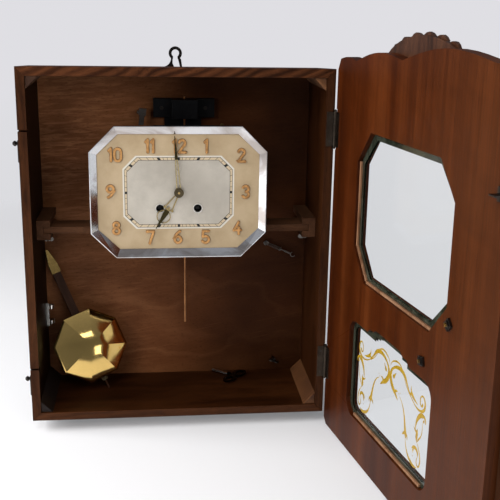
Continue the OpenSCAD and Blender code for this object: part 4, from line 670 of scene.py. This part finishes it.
def crownGap(tree, across, above, pane):
    # distance past the rounded oblong with its stepped crown, in mm: below zero inside
    r = pane["round"]
    halfWide, halfHigh = pane["half"]
    pastX = calc(tree, "SUBTRACT", across, halfWide - r)
    pastZ = calc(tree, "SUBTRACT", calc(tree, "ABSOLUTE", above), halfHigh - r)
    far = lengthOf(tree, calc(tree, "MAXIMUM", pastX, 0.0), calc(tree, "MAXIMUM", pastZ, 0.0))
    within = calc(tree, "MINIMUM", calc(tree, "MAXIMUM", pastX, pastZ), 0.0)
    gap = calc(tree, "SUBTRACT", calc(tree, "ADD", far, within), r)
    below = times(tree, above, -1.0)
    for wide, high in pane["raised"]:
        step = calc(tree, "MAXIMUM", squareGap(tree, across, above, wide, high), below)
        gap = calc(tree, "MINIMUM", gap, step)
    return gap


def glassFinish(name, look, pane):
    finish, tree, surface = startFinish(name)
    point = objectPoint(tree, True)
    mx, mz = pane["middle"]
    local = addNode(tree, "Mapping", Vector=point, Location=(placing["hinge"][0] - mx, 0, -mz),
                    Scale=(1000, 1000, 1000)).outputs[0]
    across, above = calc(tree, "ABSOLUTE", partOf(tree, local, "X")), partOf(tree, local, "Z")
    if "corner" in pane:
        up = calc(tree, "ABSOLUTE", above)
        gap = octagonGap(tree, across, up, (*pane["half"], pane["corner"]))
    else:
        gap = crownGap(tree, across, above, pane)
    beyond = spread(tree, gap, -look["edgeSoft"], look["edgeSoft"])
    dust = patternOf(tree, point, 300, 3, 0.6)
    dress(tree, surface, {
        "Base Color": (*look["tint"], 1), "Transmission Weight": 1.0, "IOR": look["bend"],
        "Roughness": spread(tree, dust, 0.5, 0.9, 0.0, 0.06)})
    # painted shade of the rebate on the pane's edge, streaked a little lighter in places
    streaks = maskOf(tree, patternOf(tree, point, (90, 90, 14), 3, 0.6), 0.4, 0.7)
    edge = addNode(tree, "BsdfPrincipled", Roughness=0.08)
    dress(tree, edge, {"Base Color": mixTone(tree, streaks, look["edge"], look["edgeStreaked"])})
    # shadows and soft light pass the pane straight
    clear = addNode(tree, "BsdfTransparent", Color=(*look["through"], 1))
    rays = addNode(tree, "LightPath").outputs
    soft = calc(tree, "MAXIMUM", rays["Is Shadow Ray"], rays["Is Diffuse Ray"])
    body = addNode(tree, "MixShader", i0=soft, i1=surface.outputs[0], i2=clear.outputs[0])
    whole = addNode(tree, "MixShader", i0=beyond, i1=body.outputs[0], i2=edge.outputs[0])
    showAs(tree, whole)
    return finish


# gilt ornament on the lower pane
giltLook = {"tone": (0.40, 0.245, 0.012), "bright": (0.60, 0.41, 0.05)}


def giltFinish(look):
    finish, tree, surface = startFinish("giltLine")
    leaf = patternOf(tree, objectPoint(tree, True), 240, 3, 0.6)
    worn = maskOf(tree, leaf, 0.45, 0.75, 0.5)
    dress(tree, surface, {"Base Color": mixTone(tree, worn, look["tone"], look["bright"]),
                          "Metallic": 0.25, "Roughness": 0.42})
    bumpOf(tree, surface, leaf, 0.00004, 0.4)
    return finish


finishes = {name: woodFinish(name, {**plainWood, **look}) for name, look in woodLooks.items()}
for metalName, metalLook in metalLooks.items():
    finishes[metalName] = metalFinish(metalName, {**plainMetal, **metalLook})
finishes.update({
    "stainedPlywood": panelFinish(panelLook), "doorMahogany": doorFinish(doorLook),
    "blockWood": blockFinish(blockLook), "blackLacquer": lacquerFinish(lacquerLook),
    "dialPaint": dialFinish(dialLook), "copperGold": numeralFinish(numeralLook),
    "upperPane": glassFinish("upperPane", glassLook, glassLook["upper"]),
    "lowerPane": glassFinish("lowerPane", glassLook, glassLook["lower"]),
    "giltLine": giltFinish(giltLook),
})
print("finishes ready:", len(finishes))

nodeFinishes = {
    "leftWalnut": ["case_left_side"],
    "rightWalnut": ["case_right_side"],
    "topWalnut": ["case_top"],
    "bottomWalnut": ["case_bottom"],
    "stainedPlywood": ["back_panel"],
    "blockWood": ["corner_blocks"],
    "railWood": ["seat_rails"],
    "seatWood": ["seat_board"],
    "brightSteel": ["movement_screws", "pallets"],
    "darkIron": ["hanger", "side_hook_upper", "side_hook_lower", "case_fixings", "door_tongues",
                 "door_fixings"],
    "blackSteel": ["going_arbor", "strike_arbor"],
    "ferruleBrass": ["pendulum_ferrule"],
    "dullZinc": ["seat_thumb_screws", "hammer", "transit_hook"],
    "keyNickel": ["winding_key"],
    "paleRing": ["winding_rings"],
    "hingeIron": ["hinge_case_halves", "hinge_door_halves"],
    "blackLacquer": ["gong_block"],
    "copperWire": ["gong_rod"],
    "nickelPlate": ["key_clip"],
    "plateBrass": ["front_plate", "back_plate", "pillars", "suspension_cock", "minute_wheel",
                   "hour_wheel", "going_barrel", "centre_wheel", "third_wheel", "escape_wheel",
                   "strike_barrel", "strike_wheel", "strike_fly"],
    "dialPaint": ["dial_plate"],
    "copperGold": ["numerals"],
    "chromePlate": ["bezel"],
    "doorMahogany": ["door_board"],
    "mouldWalnut": ["door_mouldings"],
    "agedBrass": ["door_pull", "strike_lever", "pendulum_leader"],
    "agedBronze": ["rating_nut", "hand_nut", "cannon_pinion"],
    "upperPane": ["upper_glass"],
    "lowerPane": ["lower_glass"],
    "beadWood": ["glazing_beads"],
    "minuteBrass": ["minute_hand"],
    "hourBrass": ["hour_hand"],
    "rodWood": ["pendulum_rod"],
    "polishedBrass": ["pendulum_bob"],
}
for finishName, nodeNames in nodeFinishes.items():
    for nodeName in nodeNames:
        piece = nodes[nodeName]
        if not piece.material_slots:
            piece.data.materials.append(finishes[finishName])
        for slot in piece.material_slots:
            slot.material = finishes[finishName]
print("finishes given to the clock's pieces")

# small rounded edges on sawn and cast pieces, in metres; the numerals' thin strokes are swelled too
edgeRounds = {
    "case_top": 0.0007, "case_bottom": 0.0007, "case_left_side": 0.0007, "case_right_side": 0.0002,
    "corner_blocks": 0.0006, "seat_rails": 0.0006, "seat_board": 0.0006, "door_board": 0.0002,
    "gong_block": 0.0006, "numerals": 0.0007, "bezel": 0.00035, "glazing_beads": 0.0004,
}
figureSwell = 0.00045
for nodeName, width in edgeRounds.items():
    piece = nodes[nodeName]
    raised = nodeName == "numerals"
    weld = piece.modifiers.new("joinCorners", "WELD")
    weld.merge_threshold = 0.00001
    if raised:
        swell = piece.modifiers.new("swellFigures", "DISPLACE")
        swell.strength, swell.mid_level = figureSwell, 0.0
    rounding = piece.modifiers.new("roundEdges", "BEVEL")
    rounding.width, rounding.segments = width, 4 if raised else 2
    rounding.limit_method, rounding.angle_limit = "ANGLE", math.radians(40)
    rounding.use_clamp_overlap = not raised
    rounding.harden_normals = True
print("edges rounded on", len(edgeRounds), "pieces")


# new pieces
def meshPiece(name, work, finish, body, place):
    mesh = bpy.data.meshes.new(name)
    bmesh.ops.transform(work, matrix=place, verts=work.verts)
    work.to_mesh(mesh)
    work.free()
    piece = addObject(name, mesh)
    mesh.materials.append(finish)
    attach(piece, body)
    return piece


# pendulum bob: a shallow domed octagon with a rim, its ridges crisp outside and faded in the middle
# tip: the pendulum's foot on the case; the leans and the turn are about it, in degrees
bobLook = {
    "tip": (-87.4, 65.7, 10.7), "leanLeft": -23.9, "leanBack": -12.0, "turnRight": 21.0,
    "height": 60.0, "acrossFlats": 86.0, "domeHigh": 7.5, "frontFace": -6.1, "rim": 3.0,
    "rings": 16, "around": 96, "swell": 1.03, "fade": 1.25, "rimRound": 0.4, "ridgeFrom": 0.45,
}


def bobPlace(look):
    return (caseMatrix() @ Matrix.Translation(look["tip"])
            @ Matrix.Rotation(math.radians(look["leanLeft"]), 4, "Y")
            @ Matrix.Rotation(math.radians(look["leanBack"]), 4, "X")
            @ Matrix.Rotation(math.radians(look["turnRight"]), 4, "Z")
            @ Matrix.Translation((0, 0, look["height"])))


def bobReach(look, turn, share):
    # distance from the middle: an octagon at the rim that swells to a round near the middle
    flat = look["acrossFlats"] / 2
    aside = (math.degrees(turn) + 22.5) % 45 - 22.5
    eight = flat / math.cos(math.radians(aside))
    roundness = (1 - share) ** look["fade"]
    return share * (eight * (1 - roundness) + flat * look["swell"] * roundness)


def isSteep(edge, degrees):
    return len(edge.link_faces) == 2 and edge.calc_face_angle(0) > math.radians(degrees)


def buildBob(look):
    work = bmesh.new()
    flat = look["acrossFlats"] / 2
    bowl = (flat ** 2 + look["domeHigh"] ** 2) / (2 * look["domeHigh"])
    ring = bmesh.ops.create_circle(work, cap_ends=False, segments=look["around"], radius=flat)

    def settle(verts, share, height):
        for vert in verts:
            turn = math.atan2(vert.co.y, vert.co.x)
            reach = bobReach(look, turn, share)
            vert.co = (reach * math.cos(turn), reach * math.sin(turn), height)

    settle(ring["verts"], 1.0, 0.0)
    edges = list({e for v in ring["verts"] for e in v.link_edges})
    # the rim's wall, then the dome ring by ring up a shallow bowl
    levels = [(1.0, look["rim"])]
    for k in range(1, look["rings"]):
        share = 1.0 - k / look["rings"]
        rise = math.sqrt(bowl ** 2 - (flat * share) ** 2) - bowl + look["domeHigh"]
        levels.append((share, look["rim"] + rise))
    for share, height in levels:
        grown = bmesh.ops.extrude_edge_only(work, edges=edges)
        settle([g for g in grown["geom"] if isinstance(g, bmesh.types.BMVert)], share, height)
        edges = [g for g in grown["geom"] if isinstance(g, bmesh.types.BMEdge)]
    bmesh.ops.contextual_create(work, geom=edges)
    bmesh.ops.contextual_create(work, geom=[e for e in work.edges if e.is_boundary])
    bmesh.ops.recalc_face_normals(work, faces=work.faces)
    ridges = [e for e in work.edges if isSteep(e, 30)]
    bmesh.ops.bevel(work, geom=ridges, affect="EDGES", offset=look["rimRound"], segments=2,
                    profile=0.5, material=-1)
    for face in work.faces:
        face.smooth = True
    # crisp ridges run in from the eight corners and fade towards the middle
    for edge in work.edges:
        near = edge.verts[0].co
        turns = [math.degrees(math.atan2(v.co.y, v.co.x)) % 45 for v in edge.verts]
        onRidge = all(abs(turn - 22.5) < 0.4 for turn in turns)
        farOut = near.xy.length > flat * look["ridgeFrom"]
        if (onRidge and farOut) or isSteep(edge, 35):
            edge.smooth = False
    # stand it up: the dome faces the front of the case
    bmesh.ops.rotate(work, verts=work.verts, cent=(0, 0, 0),
                     matrix=Matrix.Rotation(math.radians(90), 3, "X"))
    bmesh.ops.translate(work, verts=work.verts, vec=(0, look["frontFace"] + look["rim"], 0))
    return meshPiece("pendulumBobShell", work, finishes["polishedBrass"], "bob", bobPlace(look))


bobShell = buildBob(bobLook)
print("bob shell built")


# ornament strokes: distance out from the middle line and height, in mm on the closed door, then the
# half widths; bold thickens them all
ornamentLook = {"middle": 10.4, "plane": -6.85, "thick": 0.05, "bold": 1.75}
ornamentStrokes = [
    # main scroll, from its leafy foot round the crown and out to the eye of the volute
    ([(18.5, 103), (12.5, 105.5), (6.2, 110.5), (2.4, 117), (2.9, 123.5), (7.4, 129), (15.5, 133),
      (25, 134), (33.5, 131), (40.5, 124), (49.5, 116), (60, 111), (69, 110.2), (75.5, 112.8),
      (78.6, 118), (77.6, 124), (73.6, 127), (69.8, 125), (68.6, 120.5), (70.2, 116.5),
      (73.3, 117), (73.6, 119.5)],
     [0.2, 1.5, 1.75, 1.6, 1.2, 0.8, 1.15, 1.5, 1.3, 0.7, 0.35, 0.5, 0.75, 1.0, 0.9, 0.7, 0.55, 0.5,
      0.5, 0.55, 0.7, 0.9]),
    # hairline over the crown
    ([(0.6, 129), (3.5, 134), (10, 137.6), (17.5, 139), (24.5, 137.4), (28.5, 135)],
     [0.15, 0.35, 0.6, 0.6, 0.45, 0.15]),
    # inner bud
    ([(14, 126), (11.4, 122.8), (9.2, 121), (8.2, 122.2)], [0.3, 0.7, 1.6, 0.5]),
    # second stroke below the crown, running into the volute
    ([(31, 130), (38, 123), (47, 116.8), (52, 114.8)], [0.15, 0.35, 0.4, 0.15]),
    # leaf on the arm
    ([(64.3, 114.2), (57.5, 116.2), (51.5, 119.3), (48.8, 123.2), (48.5, 127.6)],
     [0.15, 0.8, 1.25, 0.6, 0.1]),
    ([(52, 118.5), (48.2, 119), (45.4, 119.2)], [0.9, 0.6, 0.1]),
    # foot leaf spurs
    ([(12.5, 105.5), (17, 108), (20.5, 108.6)], [1.2, 0.8, 0.1]),
    ([(14.5, 104.5), (19, 101), (21.5, 99.3)], [1.2, 0.7, 0.1]),
    # stem down to its leaf
    ([(24.5, 105.5), (31, 101), (36.5, 93), (39.8, 83), (42.3, 73.5), (44, 68.5)],
     [0.15, 0.4, 0.7, 1.0, 1.5, 0.4]),
    ([(42, 74), (38, 71.5), (35.5, 69)], [1.2, 0.8, 0.1]),
    ([(42.5, 74), (46.3, 71.5), (47.2, 67.5)], [1.2, 0.7, 0.1]),
    # bow under the stem
    ([(42.6, 69.5), (45, 61.5), (49.5, 54.5), (56.5, 50), (64, 48.4), (70, 49.6)],
     [0.2, 0.45, 0.8, 1.15, 0.9, 0.2]),
    # side scroll
    ([(81.8, 101.6), (81.6, 105), (78, 107.8), (72, 106.6), (66.5, 101.2), (63.3, 94), (62.6, 86)],
     [0.3, 0.7, 1.0, 1.5, 1.3, 0.7, 0.2]),
    ([(79.5, 103.8), (78.2, 103.2), (77.6, 104.2)], [0.4, 1.1, 0.4]),
    ([(76, 101.5), (76.4, 94), (74.6, 86), (70.5, 80.5), (67.6, 76.5)], [0.12, 0.3, 0.4, 0.6, 0.2]),
    ([(67, 90.5), (66.6, 85.6), (66, 80.5), (67.2, 75.6)], [0.15, 1.1, 1.3, 0.2]),
    ([(66.5, 86), (62.5, 87), (58.8, 89.3)], [1.0, 0.7, 0.1]),
    # lower volute
    ([(67.4, 76.4), (72, 71), (75.2, 64.5), (75.8, 57.5), (72.8, 52.4), (69.6, 54), (69.2, 58.6),
      (70.8, 61.8)],
     [0.2, 0.4, 0.55, 0.65, 0.6, 0.45, 0.35, 0.15]),
    ([(70.6, 61.5), (70.2, 66), (66, 68.8), (61, 67.9), (57.6, 65)], [0.2, 0.9, 1.15, 0.9, 0.15]),
    ([(62, 68), (60.6, 64.2), (60.8, 61.2)], [0.9, 0.7, 0.1]),
    # drops of gilding between the strokes
    ([(22.6, 107.2), (23.4, 107.8)], [0.25, 0.6]),
    ([(25.2, 109.4), (25.9, 109)], [0.2, 0.5]),
    ([(74.6, 105.6), (75.3, 105)], [0.25, 0.55]),
    ([(60.2, 58.4), (60.9, 57.8)], [0.2, 0.45]),
]


def buildOrnament(look, strokes):
    data = bpy.data.curves.new("giltScrolls", "CURVE")
    data.dimensions = "3D"
    data.bevel_depth, data.bevel_resolution, data.resolution_u = 1.0, 3, 8
    data.use_fill_caps = True
    for side in (-1, 1):
        for points, widths in strokes:
            isDrop = len(points) < 3
            spline = data.splines.new("POLY" if isDrop else "BEZIER")
            spots = spline.points if isDrop else spline.bezier_points
            spots.add(len(points) - 1)
            for spot, (out, height), width in zip(spots, points, widths):
                place = (look["middle"] + side * out, 0, height)
                spot.co = (*place, 1) if isDrop else place
                spot.radius = width * look["bold"]
                if not isDrop:
                    spot.handle_left_type = spot.handle_right_type = "AUTO"
    drawn = addObject("giltScrollsDrawn", data)
    bpy.context.view_layer.update()
    shaped = drawn.evaluated_get(bpy.context.evaluated_depsgraph_get())
    mesh = bpy.data.meshes.new_from_object(shaped)
    bpy.data.objects.remove(drawn)
    work = bmesh.new()
    work.from_mesh(mesh)
    bpy.data.meshes.remove(mesh)
    bmesh.ops.scale(work, verts=work.verts, vec=(1, look["thick"], 1))
    bmesh.ops.translate(work, verts=work.verts, vec=(0, look["plane"], 0))
    bmesh.ops.remove_doubles(work, verts=work.verts, dist=0.004)
    bmesh.ops.recalc_face_normals(work, faces=work.faces)
    for face in work.faces:
        face.smooth = True
    return meshPiece("giltScrolls", work, finishes["giltLine"], "door", doorMatrix())


scrolls = buildOrnament(ornamentLook, ornamentStrokes)
print("gilt scrolls drawn")

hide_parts("pendulum_bob")


# studio: where each lamp stands, in metres; only the mirrored ones are seen in the metal
plainLamp = {"tone": (1.0, 1.0, 1.0), "mirrored": False}
lampLooks = {
    "windowLight": {
        "place": (-1.50, -0.22, 0.55), "size": (0.9, 1.1), "power": 38, "tone": (1.0, 0.99, 0.97)},
    "roomLight": {
        "place": (0.85, -1.80, 0.40), "size": (1.0, 0.8), "power": 6, "tone": (1.0, 0.95, 0.87)},
    "topLight": {
        "place": (-0.45, -1.25, 1.20), "size": (0.9, 0.7), "power": 12, "tone": (1.0, 0.98, 0.95)},
    "sideLight": {
        "place": (-1.12, -1.38, 0.36), "size": (0.8, 0.9), "power": 10, "tone": (1.0, 0.97, 0.92)},
    "sparkLight": {
        "place": (0.95, -1.70, -0.07), "size": (0.25, 0.32), "power": 0.7, "mirrored": True},
    "glintLight": {
        "place": (0.62, -1.75, 0.65), "size": (0.5, 0.2), "power": 0.9, "mirrored": True},
}
studioLook = {
    "floorHeight": -0.439, "floorReach": 9.0,
    "near": (0.70, 0.705, 0.73), "far": (0.74, 0.735, 0.77),
    "toneReach": (0.3, 4.0), "glowReach": (0.6, 1.3), "lift": 0.24,
    "aim": (0.0, -0.1, -0.2), "roomTone": (0.80, 0.82, 0.88), "roomStrength": 0.12,
    "ceiling": ((0.0, 0.20), (0.08, 0.19), (0.35, 0.16), (0.75, 0.34), (1.0, 0.46)),
    "wallSide": (-0.45, -0.95), "wallStrength": 4.0,
}


def buildFloor(look):
    work = bmesh.new()
    bmesh.ops.create_circle(work, cap_ends=True, segments=96, radius=look["floorReach"])
    mesh = bpy.data.meshes.new("paleFloor")
    bmesh.ops.translate(work, verts=work.verts, vec=(0, 0, look["floorHeight"]))
    work.to_mesh(mesh)
    work.free()
    floor = addObject("paleFloor", mesh)
    finish, tree, surface = startFinish("palePaper")
    point = objectPoint(tree)
    away = addNode(tree, "VectorMath", {"operation": "LENGTH"}, i0=point).outputs["Value"]
    # painted shade: the paper's tone is a little darker near the case than far off
    far = spread(tree, away, *look["toneReach"])
    tone = rampOf(tree, far, [(0.0, look["near"]), (1.0, look["far"])])
    rays = addNode(tree, "LightPath").outputs
    direct, passed = rays["Is Camera Ray"], rays["Is Transmission Ray"]
    seen = calc(tree, "MAXIMUM", direct, calc(tree, "MAXIMUM", rays["Is Glossy Ray"], passed))
    # near the case the lamps draw its shadow over a dim glow; far off the paper is evenly pale
    dress(tree, surface, {
        "Base Color": tone, "Roughness": 0.9, "Specular IOR Level": 0.1, "Emission Color": tone,
        "Emission Strength": times(tree, seen, look["lift"])})
    glow = addNode(tree, "Emission", Color=tone, Strength=1.0)
    evenly = times(tree, direct, spread(tree, away, *look["glowReach"]))
    both = addNode(tree, "MixShader", i0=calc(tree, "MAXIMUM", evenly, passed),
                   i1=surface.outputs[0], i2=glow.outputs[0])
    showAs(tree, both)
    mesh.materials.append(finish)


def buildRoom(look):
    world = bpy.data.worlds.new("paleRoom")
    world.use_nodes = True
    tree = world.node_tree
    tree.nodes.clear()
    direction = addNode(tree, "TexCoord").outputs["Generated"]
    rays = addNode(tree, "LightPath").outputs
    seen = calc(tree, "MAXIMUM", rays["Is Camera Ray"], rays["Is Transmission Ray"])
    # metal sees a dim room under a paler ceiling, with a pale wall on the left
    ceiling = rampOf(tree, partOf(tree, direction, "Z"), look["ceiling"])
    wall = spread(tree, partOf(tree, direction, "X"), *look["wallSide"], 1.0, look["wallStrength"])
    mirrored = addNode(tree, "Background", Strength=wall,
                       Color=mixTone(tree, 1.0, ceiling, look["roomTone"], "MULTIPLY"))
    shown = addNode(tree, "Background", Color=(*look["far"], 1))
    filling = addNode(tree, "Background", Color=(*look["roomTone"], 1),
                      Strength=look["roomStrength"])
    unseen = addNode(tree, "MixShader", i0=rays["Is Glossy Ray"], i1=filling.outputs[0],
                     i2=mirrored.outputs[0])
    whole = addNode(tree, "MixShader", i0=seen, i1=unseen.outputs[0], i2=shown.outputs[0])
    output = addNode(tree, "OutputWorld")
    tree.links.new(whole.outputs[0], output.inputs["Surface"])
    bpy.context.scene.world = world


def buildLamp(name, look, aim):
    data = bpy.data.lights.new(name, "AREA")
    data.shape, (data.size, data.size_y) = "RECTANGLE", look["size"]
    data.energy, data.color = look["power"], look["tone"]
    lamp = addObject(name, data)
    lamp.visible_glossy = look["mirrored"]
    lamp.visible_transmission = False
    place = Vector(look["place"])
    turn = (Vector(aim) - place).to_track_quat("-Z", "Y").to_matrix().to_4x4()
    lamp.matrix_world = Matrix.Translation(place) @ turn


buildFloor(studioLook)
buildRoom(studioLook)
for lampName, lampLook in lampLooks.items():
    buildLamp(lampName, {**plainLamp, **lampLook}, studioLook["aim"])
bpy.context.scene.view_settings.view_transform = "Standard"
print("studio ready")
